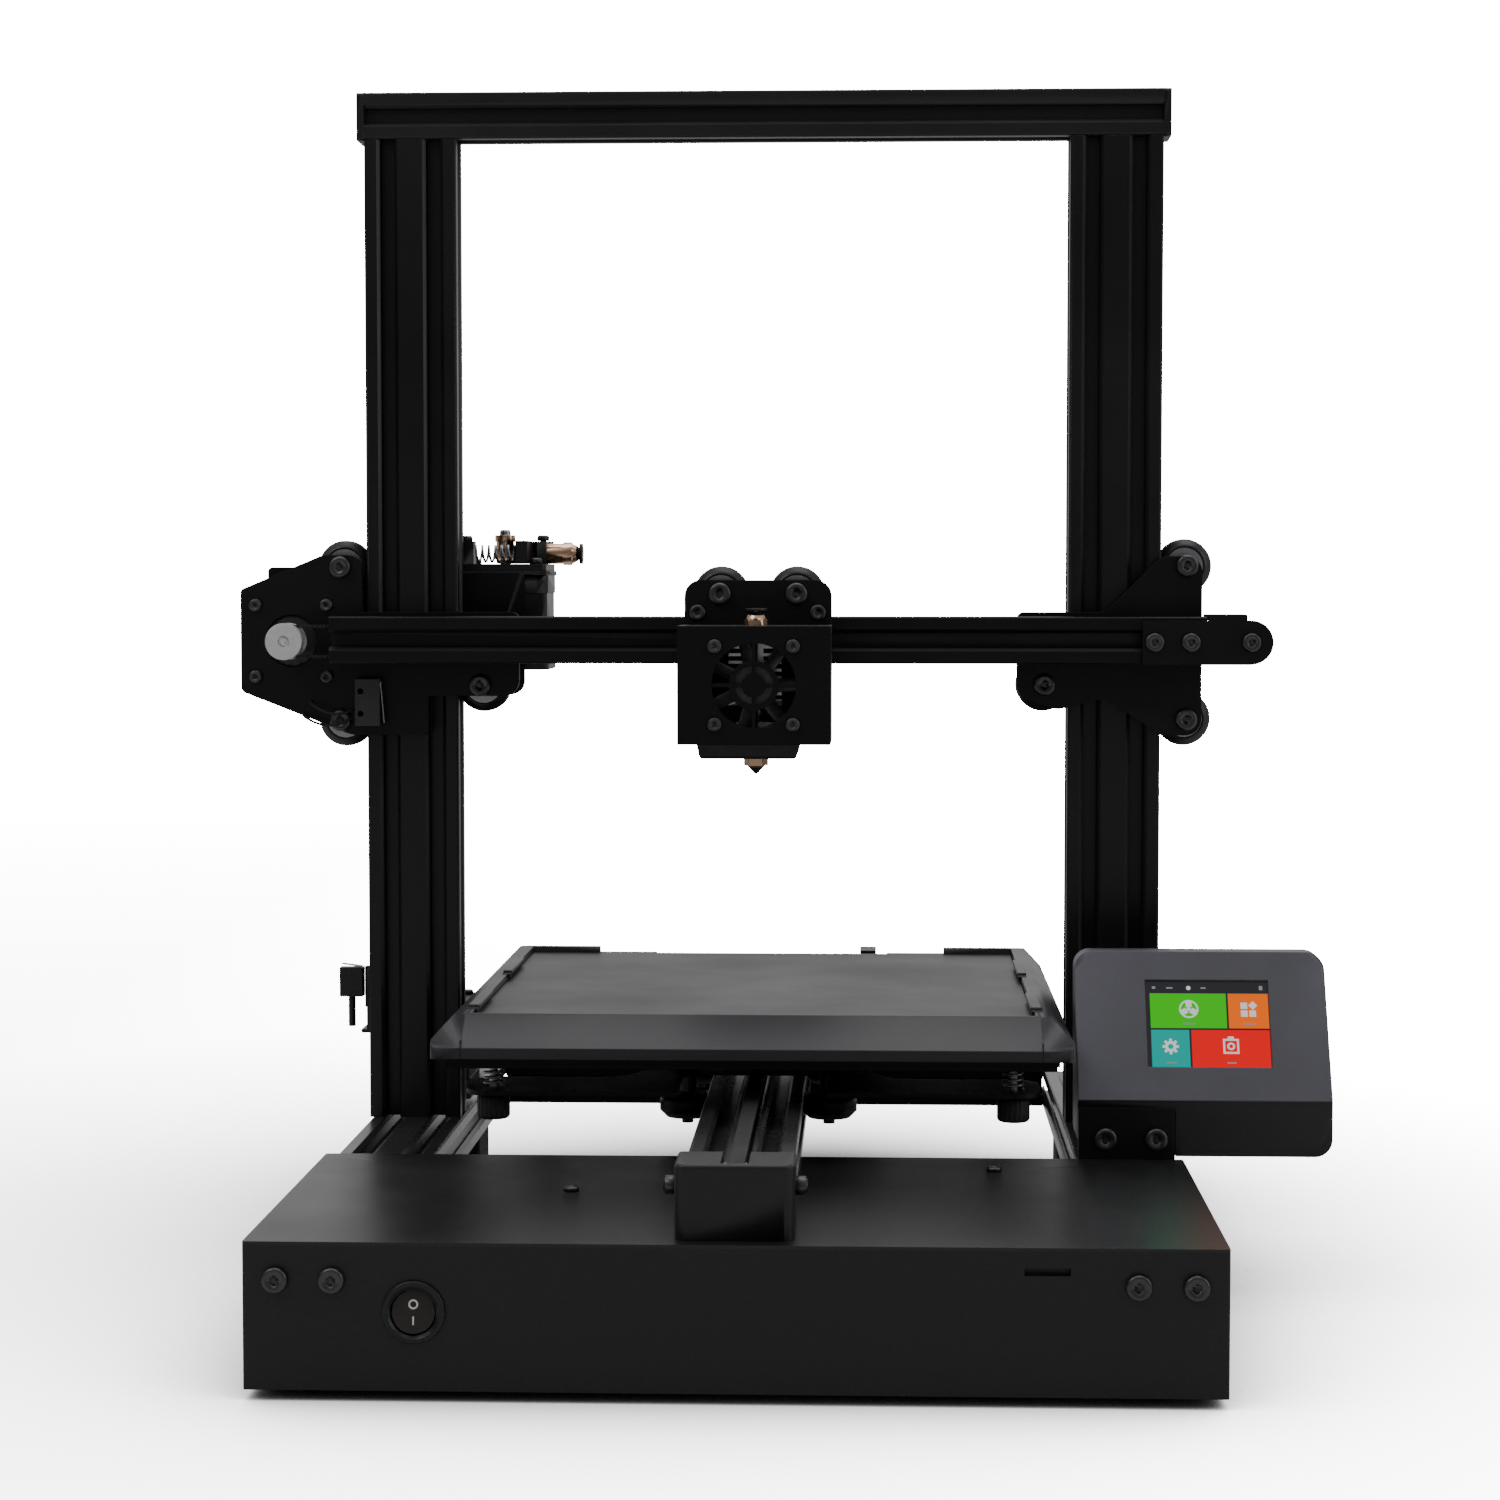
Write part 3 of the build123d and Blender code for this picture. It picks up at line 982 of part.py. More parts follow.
def bed_surround():
    """The bevelled plastic frame round the mat, in four pieces with seams near the corners."""
    middle = (BED_FRONT + BED_BACK) / 2
    depth = BED_BACK - BED_FRONT
    base = block(-BED_HALF, BED_HALF, BED_FRONT, BED_BACK, BED_SKIRT, BED_EDGE)
    base = fillet(base.edges().filter_by(Axis.Z), 2.0)
    lower = Pos(0, middle, BED_EDGE) * RectangleRounded(2 * BED_HALF, depth, 2.0)
    top_front = BED_FRONT + 15.7
    top_back = BED_BACK - 4.0
    upper_middle = (top_front + top_back) / 2
    upper = Pos(0, upper_middle, BED_TOP) * RectangleRounded(240.9, top_back - top_front, 2.0)
    whole = base + loft([lower, upper])
    over = Polygon(
        (BED_FRONT - 1, BED_LIP),
        (BED_FRONT, BED_LIP),
        (top_front, BED_TOP),
        (top_front, 120),
        (BED_FRONT - 1, 120),
        align=None,
    )
    whole -= extrude(Plane.YZ.offset(-150) * over, 300, dir=(1, 0, 0))
    whole -= block(-114, 114, MAT_FRONT, MAT_BACK, BED_SKIRT - 1, BED_TOP + 1)
    whole -= block(-82, 82, MAT_BACK - 1, BED_BACK + 1, MAT_TOP - 0.2, BED_TOP + 1)
    whole -= block(-55, 55, MAT_BACK - 1, BED_BACK + 1, MAT_TOP - 1.8, BED_TOP + 1)
    front = block(-SEAM_X, SEAM_X, BED_FRONT - 1, middle, 90, 120)
    back = block(-SEAM_X, SEAM_X, middle, BED_BACK + 1, 90, 120)
    left = block(-200, -SEAM_X, BED_FRONT - 1, BED_BACK + 1, 90, 120)
    right = block(SEAM_X, 200, BED_FRONT - 1, BED_BACK + 1, 90, 120)
    return [whole & cut for cut in (front, back, left, right)]


def bed_springs():
    """Four corner springs with their long screws, and the wheels' axles and standoffs."""
    parts = []
    height = 93.2 - BED_CARRIAGE_TOP
    for x, y in knob_points():
        parts.append(Pos(x, y, BED_CARRIAGE_TOP) * helix_spring(3.8, 0.5, height, 4))
        parts.append(rod(1.7, (x, y, 71.5), (0, 0, 1), BED_SKIRT - 71.5))
    low = BED_CARRIAGE_TOP - 2
    top = Y_RAIL_Z + WHEEL_HALF + CLEAR
    for x, y in bed_wheel_points():
        parts.append(ring(4.0, AXLE_BORE, (x, y, top), (0, 0, 1), low - top))
        parts.append(bolt((x, y, BED_CARRIAGE_TOP), (0, 0, 1), AXLE_RADIUS, 24.5, 4.7, 2.7))
    return parts


def knob(point):
    """A knurled levelling wheel screwed on the spring's screw."""
    x, y = point
    body = rod(6.65, (x, y, 70.8), (0, 0, 1), 9.8)
    body = fillet(body.edges().group_by(Axis.Z)[0], 1.6)
    body = chamfer(body.edges().group_by(Axis.Z)[-1], 1.0)
    for index in range(20):
        angle = radians(18 * index)
        body -= rod(0.45, (x + 6.8 * cos(angle), y + 6.8 * sin(angle), 70), (0, 0, 1), 12)
    body -= rod(1.75, (x, y, 70), (0, 0, 1), 12)
    return [body]


def write(name, solids):
    """Write one node's solids, moved to the origin under the footprint."""
    shape = Pos(0, FOOTPRINT_SHIFT, 0) * Compound(children=solids)
    export_step(shape, f"parts/{name}.step")


def main():
    os.makedirs("parts", exist_ok=True)
    makers = [
        base_case, base_lid, base_rails, feet, uprights, top_bar, belt_tensioner, frame_motors,
        brackets, y_belt, z_endstop, electrics, switch_rocker, display_housing,
        display_screen, frame_screws, lead_screw, y_pulley, y_idler, x_beam, gantry_plates,
        gantry_motors, x_belt, x_endstop, feeder_body, brass_fittings, drive_gear, feeder_lever,
        lever_spring, x_pulley, x_idler, gantry_screws, carriage_plate, hotend_cover, heatsink,
        nozzle, fan_rotor, carriage_screws, bed_carriage, bed_plate, bed_mat, bed_surround,
        bed_springs,
    ]
    for maker in makers:
        write(maker.__name__, maker())
    groups = {"left": LEFT_WHEELS, "right": RIGHT_WHEELS}
    for side, points in groups.items():
        for index, (x, z) in enumerate(points, 1):
            write(f"gantry_wheel_{side}_{index}", wheel((x, 0, z), (0, 1, 0)))
    for index, (x, z) in enumerate(CARRIAGE_WHEELS, 1):
        write(f"carriage_wheel_{index}", wheel((x, BEAM_Y, z), (0, 1, 0)))
    for index, (x, y) in enumerate(bed_wheel_points(), 1):
        write(f"bed_wheel_{index}", wheel((x, y, Y_RAIL_Z), (0, 0, 1)))
    for index, point in enumerate(knob_points(), 1):
        write(f"levelling_knob_{index}", knob(point))


main()
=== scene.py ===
import json
import math

import bmesh
import bpy
from mathutils import Matrix, Vector


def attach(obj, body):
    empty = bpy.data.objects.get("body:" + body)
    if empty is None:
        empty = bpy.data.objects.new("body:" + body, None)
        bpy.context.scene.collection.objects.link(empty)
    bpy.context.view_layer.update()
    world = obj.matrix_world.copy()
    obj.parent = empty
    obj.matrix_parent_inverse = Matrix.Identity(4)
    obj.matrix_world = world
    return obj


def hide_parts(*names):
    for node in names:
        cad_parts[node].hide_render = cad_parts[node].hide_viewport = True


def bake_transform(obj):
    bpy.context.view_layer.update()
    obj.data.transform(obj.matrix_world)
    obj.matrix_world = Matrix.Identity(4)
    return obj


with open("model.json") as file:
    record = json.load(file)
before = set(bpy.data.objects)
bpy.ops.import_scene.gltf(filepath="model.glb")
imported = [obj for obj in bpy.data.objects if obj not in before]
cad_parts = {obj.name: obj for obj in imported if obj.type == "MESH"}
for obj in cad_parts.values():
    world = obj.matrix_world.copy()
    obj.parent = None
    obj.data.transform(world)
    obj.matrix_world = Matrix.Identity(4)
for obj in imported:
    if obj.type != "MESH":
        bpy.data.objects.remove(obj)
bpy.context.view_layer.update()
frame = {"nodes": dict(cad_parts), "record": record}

# Positions are given in millimetres with Y = 0 in the plane of the uprights.
SHIFT = 38.0
BODY_OF = {node: body for body, nodes in frame["record"]["behaviour"]["bodies"].items() for node in nodes}

SHARP_CAD = math.radians(32)
SHARP_NEW = math.radians(35)
FEEDER = (-117.2, 37.5)
BEARING = (-117.2, 49.9)
SPRING_ENDS = (-128.8, -110.4)


def place(x, y, z):
    return Vector((x / 1000, (y + SHIFT) / 1000, z / 1000))


# ---------------------------------------------------------------- materials


def ramp(tree, source, low, high, a=0.3, b=0.7):
    node = tree.nodes.new("ShaderNodeMapRange")
    node.inputs["From Min"].default_value = a
    node.inputs["From Max"].default_value = b
    node.inputs["To Min"].default_value = low
    node.inputs["To Max"].default_value = high
    tree.links.new(source, node.inputs["Value"])
    return node.outputs["Result"]


def surface(name, colour, rough, metal=0.0, grain=900, bump=0.06, stretch=(1, 1, 1), vary=0.18,
            edge=0.0004, wear=0.05, specular=0.5):
    """A procedural finish: mottled colour, uneven gloss, fine grain and rounded, lighter edges."""
    mat = bpy.data.materials.new(name)
    mat.use_nodes = True
    tree = mat.node_tree
    shader = tree.nodes["Principled BSDF"]
    shader.inputs["Metallic"].default_value = metal
    shader.inputs["Specular IOR Level"].default_value = specular
    coords = tree.nodes.new("ShaderNodeTexCoord").outputs["Object"]
    mapping = tree.nodes.new("ShaderNodeMapping")
    mapping.inputs["Scale"].default_value = stretch
    tree.links.new(coords, mapping.inputs["Vector"])
    fine = tree.nodes.new("ShaderNodeTexNoise")
    fine.inputs["Scale"].default_value = grain
    fine.inputs["Detail"].default_value = 4
    tree.links.new(mapping.outputs["Vector"], fine.inputs["Vector"])
    broad = tree.nodes.new("ShaderNodeTexNoise")
    broad.inputs["Scale"].default_value = 14
    broad.inputs["Detail"].default_value = 3
    tree.links.new(coords, broad.inputs["Vector"])
    bevel = tree.nodes.new("ShaderNodeBevel")
    bevel.samples = 4
    bevel.inputs["Radius"].default_value = edge
    relief = tree.nodes.new("ShaderNodeBump")
    relief.inputs["Strength"].default_value = bump
    relief.inputs["Distance"].default_value = 0.0002
    tree.links.new(fine.outputs["Fac"], relief.inputs["Height"])
    tree.links.new(bevel.outputs["Normal"], relief.inputs["Normal"])
    tree.links.new(relief.outputs["Normal"], shader.inputs["Normal"])
    tone = ramp(tree, broad.outputs["Fac"], 1 - vary, 1 + vary)
    speck = ramp(tree, fine.outputs["Fac"], 1 - wear, 1 + wear)
    both = tree.nodes.new("ShaderNodeMath")
    both.operation = "MULTIPLY"
    tree.links.new(tone, both.inputs[0])
    tree.links.new(speck, both.inputs[1])
    tint = tree.nodes.new("ShaderNodeVectorMath")
    tint.operation = "SCALE"
    tint.inputs[0].default_value = colour
    tree.links.new(both.outputs["Value"], tint.inputs["Scale"])
    tree.links.new(tint.outputs["Vector"], shader.inputs["Base Color"])
    gloss = ramp(tree, broad.outputs["Fac"], rough * 0.85, rough * 1.15)
    tree.links.new(gloss, shader.inputs["Roughness"])
    return mat


def ribbed(name, colour, rough, axis, pitch, depth=0.6):
    """A rubber or metal finish with fine ribs across one axis, for belts and threads."""
    mat = surface(name, colour, rough, bump=0.1)
    tree = mat.node_tree
    wave = tree.nodes.new("ShaderNodeTexWave")
    wave.bands_direction = axis
    wave.inputs["Scale"].default_value = math.pi / 10 / pitch
    coords = [n for n in tree.nodes if n.type == "TEX_COORD"][0]
    tree.links.new(coords.outputs["Object"], wave.inputs["Vector"])
    shader = tree.nodes["Principled BSDF"]
    relief = tree.nodes.new("ShaderNodeBump")
    relief.inputs["Strength"].default_value = depth
    relief.inputs["Distance"].default_value = 0.0006
    tree.links.new(wave.outputs["Fac"], relief.inputs["Height"])
    tree.links.new(shader.inputs["Normal"].links[0].from_socket, relief.inputs["Normal"])
    tree.links.new(relief.outputs["Normal"], shader.inputs["Normal"])
    return mat


POWDER = surface("powder coat", (0.0085, 0.0085, 0.0090), 0.48, grain=1500, bump=0.16, wear=0.12)
LID = surface("lid coat", (0.012, 0.012, 0.0135), 0.33, grain=1300, bump=0.12, wear=0.10)
# The extrusions share one black anodised finish; their base colours, from 0.003 to 0.030, are painted light
# and shade, with the Y rails and the top bar painted lighter than the X beam and the uprights.
ANODISED_X = surface("anodised across", (0.003, 0.003, 0.0034), 0.40, grain=500,
                     stretch=(0.02, 1, 1), bump=0.05, specular=0.3)
TOP_BAR_PAINTED_LIGHTER = surface("anodised top bar", (0.013, 0.013, 0.014), 0.36, grain=500, stretch=(0.02, 1, 1), bump=0.05)
ANODISED_Y_PAINTED_LIGHTER = surface("anodised deep", (0.030, 0.030, 0.033), 0.27, grain=500,
                     stretch=(1, 0.02, 1), bump=0.05, specular=0.8)
ANODISED_Z = surface("anodised upright", (0.006, 0.006, 0.007), 0.36, grain=500,
                     stretch=(1, 1, 0.02), bump=0.05, specular=0.45)
PLATE = surface("plate coat", (0.0032, 0.0032, 0.0035), 0.44, grain=1600, bump=0.10, specular=0.3)
COVER = surface("cover coat", (0.0026, 0.0026, 0.0028), 0.46, grain=1600, bump=0.10, specular=0.25)
PLASTIC = surface("black plastic", (0.009, 0.009, 0.010), 0.40, grain=2200, bump=0.08, edge=0.0006)
ENDSTOP = surface("endstop plastic", (0.034, 0.034, 0.036), 0.45, grain=2200, bump=0.08, edge=0.0005)
SOFT = surface("soft black plastic", (0.016, 0.016, 0.017), 0.52, grain=2200, bump=0.14, edge=0.0006)
WHEEL = surface("wheel plastic", (0.014, 0.014, 0.015), 0.38, grain=1200, bump=0.05)
RUBBER = surface("rubber", (0.010, 0.010, 0.010), 0.7, grain=1500, bump=0.2)
BELT_X = ribbed("belt across", (0.012, 0.012, 0.012), 0.6, "X", 0.002)
BELT_Y = ribbed("belt deep", (0.012, 0.012, 0.012), 0.6, "Y", 0.002)
STEEL = surface("steel", (0.52, 0.53, 0.55), 0.24, metal=1.0, grain=700, bump=0.04, vary=0.08)
THREAD = ribbed("thread", (0.42, 0.43, 0.45), 0.3, "Z", 0.002)
THREAD.node_tree.nodes["Principled BSDF"].inputs["Metallic"].default_value = 1.0
SCREW = surface("black oxide", (0.092, 0.092, 0.097), 0.32, metal=0.9, grain=900, bump=0.04)
ALU = surface("turned aluminium", (0.66, 0.67, 0.69), 0.26, metal=1.0, grain=600, bump=0.05, vary=0.08)
PULLEY = surface("satin pulley", (0.80, 0.80, 0.81), 0.34, metal=0.45, grain=500, bump=0.05, vary=0.06)
SPRING = surface("spring wire", (0.36, 0.36, 0.37), 0.28, metal=1.0, grain=700, bump=0.04, vary=0.08)
CAST = surface("motor caps", (0.035, 0.035, 0.038), 0.38, metal=0.5, grain=900, bump=0.08)
STACK = surface("motor stack", (0.008, 0.008, 0.009), 0.34, grain=400, stretch=(1, 1, 6), bump=0.10)
BRASS = surface("brass", (0.92, 0.60, 0.40), 0.22, metal=1.0, grain=600, bump=0.04, vary=0.10)
BEZEL = surface("bezel grey", (0.105, 0.105, 0.126), 0.46, grain=2400, bump=0.10, edge=0.0008)
MAT = surface("print mat", (0.021, 0.021, 0.0235), 0.42, grain=2600, bump=0.35, wear=0.25, specular=0.36)
FRAME = surface("bed frame plastic", (0.030, 0.030, 0.035), 0.38, grain=2200, bump=0.10, edge=0.0007)
FAN = surface("fan plastic", (0.060, 0.060, 0.063), 0.42, grain=1800, bump=0.06)
ROCKER = surface("rocker plastic", (0.030, 0.022, 0.021), 0.34, grain=1800, bump=0.05)
WHITE = surface("white mark", (0.85, 0.85, 0.85), 0.5, grain=900, bump=0.02, vary=0.02)
BOARD = surface("circuit board", (0.01, 0.09, 0.03), 0.35, grain=900, bump=0.05)


def glow(name, colour, strength=1.0):
    """A lit area of the screen: light of one colour under a faint gloss."""
    mat = surface(name, (0.001, 0.001, 0.001), 0.25, grain=900, bump=0.0, vary=0.03, specular=0.1)
    shader = mat.node_tree.nodes["Principled BSDF"]
    shader.inputs["Emission Color"].default_value = (*colour, 1)
    shader.inputs["Emission Strength"].default_value = strength
    return mat


GREEN = glow("tile green", (0.020, 0.56, 0.0))
ORANGE = glow("tile orange", (0.98, 0.15, 0.0))
TEAL = glow("tile teal", (0.0, 0.37, 0.33))
RED = glow("tile red", (0.90, 0.0, 0.006))
PANEL = glow("screen field", (0.045, 0.045, 0.052), 0.6)
MARK = glow("screen mark", (0.80, 0.82, 0.84), 0.9)
DIM = glow("screen dim mark", (0.35, 0.36, 0.38), 0.7)


# ---------------------------------------------------------------- pieces from the frame


def to_mm(v):
    return v.x * 1000, v.y * 1000 - SHIFT, v.z * 1000


def refinish(node, base, rules=(), bend=None):
    """Copy a node's shape with welded vertices, smooth shading and several finishes.

    When bend is given, the piece is attached to no body and its transform is baked into the shape; the two
    bodies and two points it names are not used.
    """
    source = frame["nodes"][node]
    shape = source.data.copy()
    shape.materials.clear()
    for mat in [base] + [mat for _, mat in rules]:
        shape.materials.append(mat)
    work = bmesh.new()
    work.from_mesh(shape)
    bmesh.ops.remove_doubles(work, verts=work.verts, dist=2e-6)
    bmesh.ops.recalc_face_normals(work, faces=work.faces)
    for face in work.faces:
        face.material_index = 0
        point = to_mm(face.calc_center_median())
        for index, (test, _) in enumerate(rules, 1):
            if test(*point):
                face.material_index = index
                break
    work.to_mesh(shape)
    work.free()
    shape.shade_smooth()
    shape.set_sharp_from_angle(angle=SHARP_CAD)
    piece = bpy.data.objects.new(node + "_finish", shape)
    bpy.context.collection.objects.link(piece)
    flatten = piece.modifiers.new("flatten", "WEIGHTED_NORMAL")
    flatten.keep_sharp = True
    flatten.weight = 90
    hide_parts(node)
    if bend:
        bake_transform(piece)
    else:
        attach(piece, BODY_OF[node])
    return piece


def new_piece(name, work, mat, body, edge=0.0):
    """Turn a bmesh into an object on a body, with edges softened by a width in millimetres."""
    shape = bpy.data.meshes.new(name)
    bmesh.ops.recalc_face_normals(work, faces=work.faces)
    work.to_mesh(shape)
    work.free()
    shape.materials.append(mat)
    shape.shade_smooth()
    shape.set_sharp_from_angle(angle=SHARP_NEW)
    piece = bpy.data.objects.new(name, shape)
    bpy.context.collection.objects.link(piece)
    if edge:
        soften = piece.modifiers.new("soften", "BEVEL")
        soften.width = edge / 1000
        soften.segments = 2
        soften.limit_method = "ANGLE"
    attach(piece, body)
    return piece


def add_box(work, low, high, turn=None):
    """Add a box between two corners, in millimetres, optionally turned by a matrix."""
    made = bmesh.ops.create_cube(work, size=1.0)["verts"]
    centre = (Vector(low) + Vector(high)) / 2
    span = Vector(high) - Vector(low)
    for v in made:
        v.co = Vector((v.co.x * span.x, v.co.y * span.y, v.co.z * span.z)) + centre
        v.co = place(*v.co) if turn is None else turn @ v.co


def add_disc(work, centre, radius, depth, matrix, inner=0.0, steps=40):
    """Add a disc or ring prism whose axis is the matrix's Z, in the matrix's millimetres."""
    rings = []
    for z in (0, depth):
        for r in ([inner] if inner else []) + [radius]:
            ring = []
            for i in range(steps):
                a = 2 * math.pi * i / steps
                point = Vector((centre[0] + r * math.cos(a), centre[1] + r * math.sin(a), centre[2] + z))
                ring.append(work.verts.new(matrix @ point))
            rings.append(ring)
    if inner:
        in0, out0, in1, out1 = rings
        pairs = [(in0, out0), (out0, out1), (out1, in1), (in1, in0)]
    else:
        out0, out1 = rings
        pairs = [(out0, out1)]
        work.faces.new(out0)
        work.faces.new(out1)
    for first, second in pairs:
        for i in range(steps):
            j = (i + 1) % steps
            work.faces.new((first[i], first[j], second[j], second[i]))


def tube(name, points, radius, mat, body):
    """A wire through the given points, in millimetres."""
    line = bpy.data.curves.new(name, "CURVE")
    line.dimensions = "3D"
    line.bevel_depth = radius / 1000
    line.bevel_resolution = 3
    line.resolution_u = 8
    spline = line.splines.new("BEZIER")
    spline.bezier_points.add(len(points) - 1)
    for knot, point in zip(spline.bezier_points, points):
        knot.co = place(*point)
        knot.handle_left_type = "AUTO"
        knot.handle_right_type = "AUTO"
    line.materials.append(mat)
    line.use_fill_caps = True
    piece = bpy.data.objects.new(name, line)
    bpy.context.collection.objects.link(piece)
    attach(piece, body)
    return piece


def near(cx, cy, radius):
    """A test for points within a radius of a vertical axis."""
    return lambda x, y, z: math.hypot(x - cx, y - cy) < radius


def near_y(cx, cz, radius):
    """A test for points within a radius of an axis along Y."""
    return lambda x, y, z: math.hypot(x - cx, z - cz) < radius


refinish("base_case", POWDER)
refinish("base_lid", LID)
refinish("base_rails", ANODISED_Y_PAINTED_LIGHTER, [(lambda x, y, z: z < 53.3 and abs(x) < 131, ANODISED_X)])
refinish("uprights", ANODISED_Z)
refinish("x_beam", ANODISED_X)
refinish("top_bar", TOP_BAR_PAINTED_LIGHTER, [(lambda x, y, z: abs(x) > 172.35, PLASTIC)])
refinish("feet", RUBBER)
refinish("belt_tensioner", PLASTIC, [(lambda x, y, z: abs(x) > 21.35, SCREW)])
refinish("frame_motors", CAST, [
    (lambda x, y, z: x > 0 and 19.2 < x < 41.8, STACK),
    (lambda x, y, z: x < 0 and 66.2 < z < 88.8, STACK),
    (lambda x, y, z: x > 0 and z > 95 or x < 0 and y > 54, PLASTIC)])
refinish("gantry_motors", CAST, [
    (lambda x, y, z: x < -182 and z > 283.4, PLASTIC),
    (lambda x, y, z: x < -182 and -5.0 < y < 17.8, STACK),
    (lambda x, y, z: x > -140 and 258.2 < z < 282.8, STACK),
    (lambda x, y, z: x > -140 and y > 58.5, PLASTIC)])
refinish("brackets", PLATE)
refinish("gantry_plates", PLATE)
refinish("carriage_plate", PLATE)
refinish("bed_carriage", PLATE)
refinish("x_belt", BELT_X)
refinish("y_belt", BELT_Y)
refinish("x_endstop", ENDSTOP, [(lambda x, y, z: x > -164.7, STEEL)])
refinish("z_endstop", PLASTIC, [(lambda x, y, z: z > 118.3, STEEL)])
refinish("switch_rocker", ROCKER)
refinish("electrics", PLASTIC, [(lambda x, y, z: 45.1 < z < 46.9 and x > 41, BOARD)])
refinish("display_housing", PLASTIC, [
    (lambda x, y, z: z > 80.0 and (y + 116) * 0.8760 - (z - 80.5) * 0.4823 < 7.2, BEZEL)])
refinish("display_screen", PANEL)
for name in ("frame_screws", "gantry_screws", "carriage_screws"):
    refinish(name, SCREW)
refinish("lead_screw", THREAD, [(lambda x, y, z: z < 128.5, ALU)])
for name, matter in (("y_pulley", ALU), ("y_idler", ALU), ("x_pulley", PULLEY), ("x_idler", PULLEY)):
    refinish(name, matter)
refinish("feeder_body", PLASTIC)
refinish("feeder_lever", PLASTIC, [(near(*BEARING, 6.55), STEEL)])
refinish("lever_spring", SPRING,
         bend=("gantry", "lever_body", *[place(x, 20.3, 300.5) for x in SPRING_ENDS]))
refinish("drive_gear", BRASS, [(near(*FEEDER, 2.55), STEEL)])
refinish("brass_fittings", BRASS, [(lambda x, y, z: x > -85.2 and z > 290, PLASTIC)])
refinish("nozzle", BRASS, [(lambda x, y, z: z > 274.4, SCREW), (lambda x, y, z: z < 211.0, SCREW)])
refinish("hotend_cover", COVER, [
    (lambda x, y, z: z < 221.3, SOFT),
    (lambda x, y, z: -89.25 < y < -79.2 and z > 222.95 and abs(x + 0.4) < 20.1, PLASTIC)])
refinish("heatsink", ALU)
refinish("fan_rotor", FAN)
refinish("bed_plate", PLATE)
refinish("bed_mat", MAT)
refinish("bed_surround", FRAME)
refinish("bed_springs", SPRING, [(lambda x, y, z: abs(x) < 60, SCREW)])
for side, spots in (("left", [(-182.7, 294.3), (-182.7, 227.9), (-121.9, 243.2)]),
                    ("right", [(182.7, 294.8), (182.7, 228.9), (121.9, 243.7)])):
    for index, (x, z) in enumerate(spots, 1):
        refinish(f"gantry_wheel_{side}_{index}", WHEEL, [(near_y(x, z, 7.99), STEEL)])
for index, (x, z) in enumerate([(-16.6, 282.9), (15.8, 282.9), (-0.4, 243.5)], 1):
    refinish(f"carriage_wheel_{index}", WHEEL, [(near_y(x, z, 7.99), STEEL)])
for index in range(1, 5):
    refinish(f"bed_wheel_{index}", WHEEL)
    refinish(f"levelling_knob_{index}", SOFT)


# ---------------------------------------------------------------- screen

slope = Vector((0, 31.0, 56.3)).normalized()
facing = Vector((1, 0, 0)).cross(slope)
SCREEN = Matrix.Translation(place(131.0, -116.0, 80.5)) @ Matrix((
    (0.001, 0, 0, 0),
    (0, slope.y * 0.001, facing.y * 0.001, 0),
    (0, slope.z * 0.001, facing.z * 0.001, 0),
    (0, 0, 0, 1),
))
LIFT = -1.78
SKIN = 0.12


def screen_box(name, rects, mat, lift=LIFT):
    """Thin plates on the screen, from their edges in millimetres."""
    work = bmesh.new()
    for x0, x1, y0, y1 in rects:
        add_box(work, (x0, y0, lift), (x1, y1, lift + SKIN), SCREEN)
    return new_piece(name, work, mat, "frame")


screen_box("tile_green", [(30.2, 61.0, 31.6, 46.6)], GREEN)
screen_box("tile_orange", [(61.8, 78.0, 31.6, 46.6)], ORANGE)
screen_box("tile_teal", [(30.2, 45.6, 14.6, 30.8)], TEAL)
screen_box("tile_red", [(46.4, 78.0, 14.6, 30.8)], RED)

marks = [
    (31.2, 32.6, 48.6, 49.6),
    (37.0, 39.6, 48.7, 49.3),
    (51.0, 53.0, 48.7, 49.3),
    (74.6, 76.0, 48.2, 50.0),
]
screen_box("status_marks", marks, DIM)
work = bmesh.new()
add_disc(work, (46.0, 49.0, LIFT), 0.9, SKIN, SCREEN)
new_piece("status_dot", work, MARK, "frame")

icons = bmesh.new()
top = LIFT + SKIN
add_disc(icons, (45.8, 39.8, top), 3.9, 0.1, SCREEN, inner=3.2)
for turn in range(3):
    arm = Matrix.Translation((45.8, 39.8, 0)) @ Matrix.Rotation(math.radians(90 + 120 * turn), 4, "Z")
    add_box(icons, (0.9, -1.2, top), (3.3, 1.2, top + 0.1), SCREEN @ arm)
add_disc(icons, (45.8, 39.8, top), 0.8, 0.1, SCREEN)
for i, j in ((0, 0), (0, 1), (1, 0)):
    x0 = 66.8 + 3.4 * i
    y0 = 36.6 + 3.4 * j
    add_box(icons, (x0, y0, top), (x0 + 2.7, y0 + 2.7, top + 0.1), SCREEN)
tilted = Matrix.Translation((71.7, 41.5, 0)) @ Matrix.Rotation(math.radians(45), 4, "Z")
add_box(icons, (-1.3, -1.3, top), (1.3, 1.3, top + 0.1), SCREEN @ tilted)
add_disc(icons, (37.9, 23.6, top), 2.3, 0.1, SCREEN, inner=1.1)
for tooth in range(8):
    arm = Matrix.Translation((37.9, 23.6, 0)) @ Matrix.Rotation(math.radians(45 * tooth), 4, "Z")
    add_box(icons, (2.0, -0.55, top), (3.3, 0.55, top + 0.1), SCREEN @ arm)
for x0, x1, y0, y1 in ((59.0, 65.4, 20.6, 21.4), (59.0, 65.4, 26.2, 27.0), (59.0, 59.8, 20.6, 27.0),
                       (64.6, 65.4, 20.6, 27.0), (61.0, 63.4, 27.0, 28.0)):
    add_box(icons, (x0, y0, top), (x1, y1, top + 0.1), SCREEN)
add_disc(icons, (62.2, 23.8, top), 1.6, 0.1, SCREEN, inner=0.8)
new_piece("tile_icons", icons, MARK, "frame")
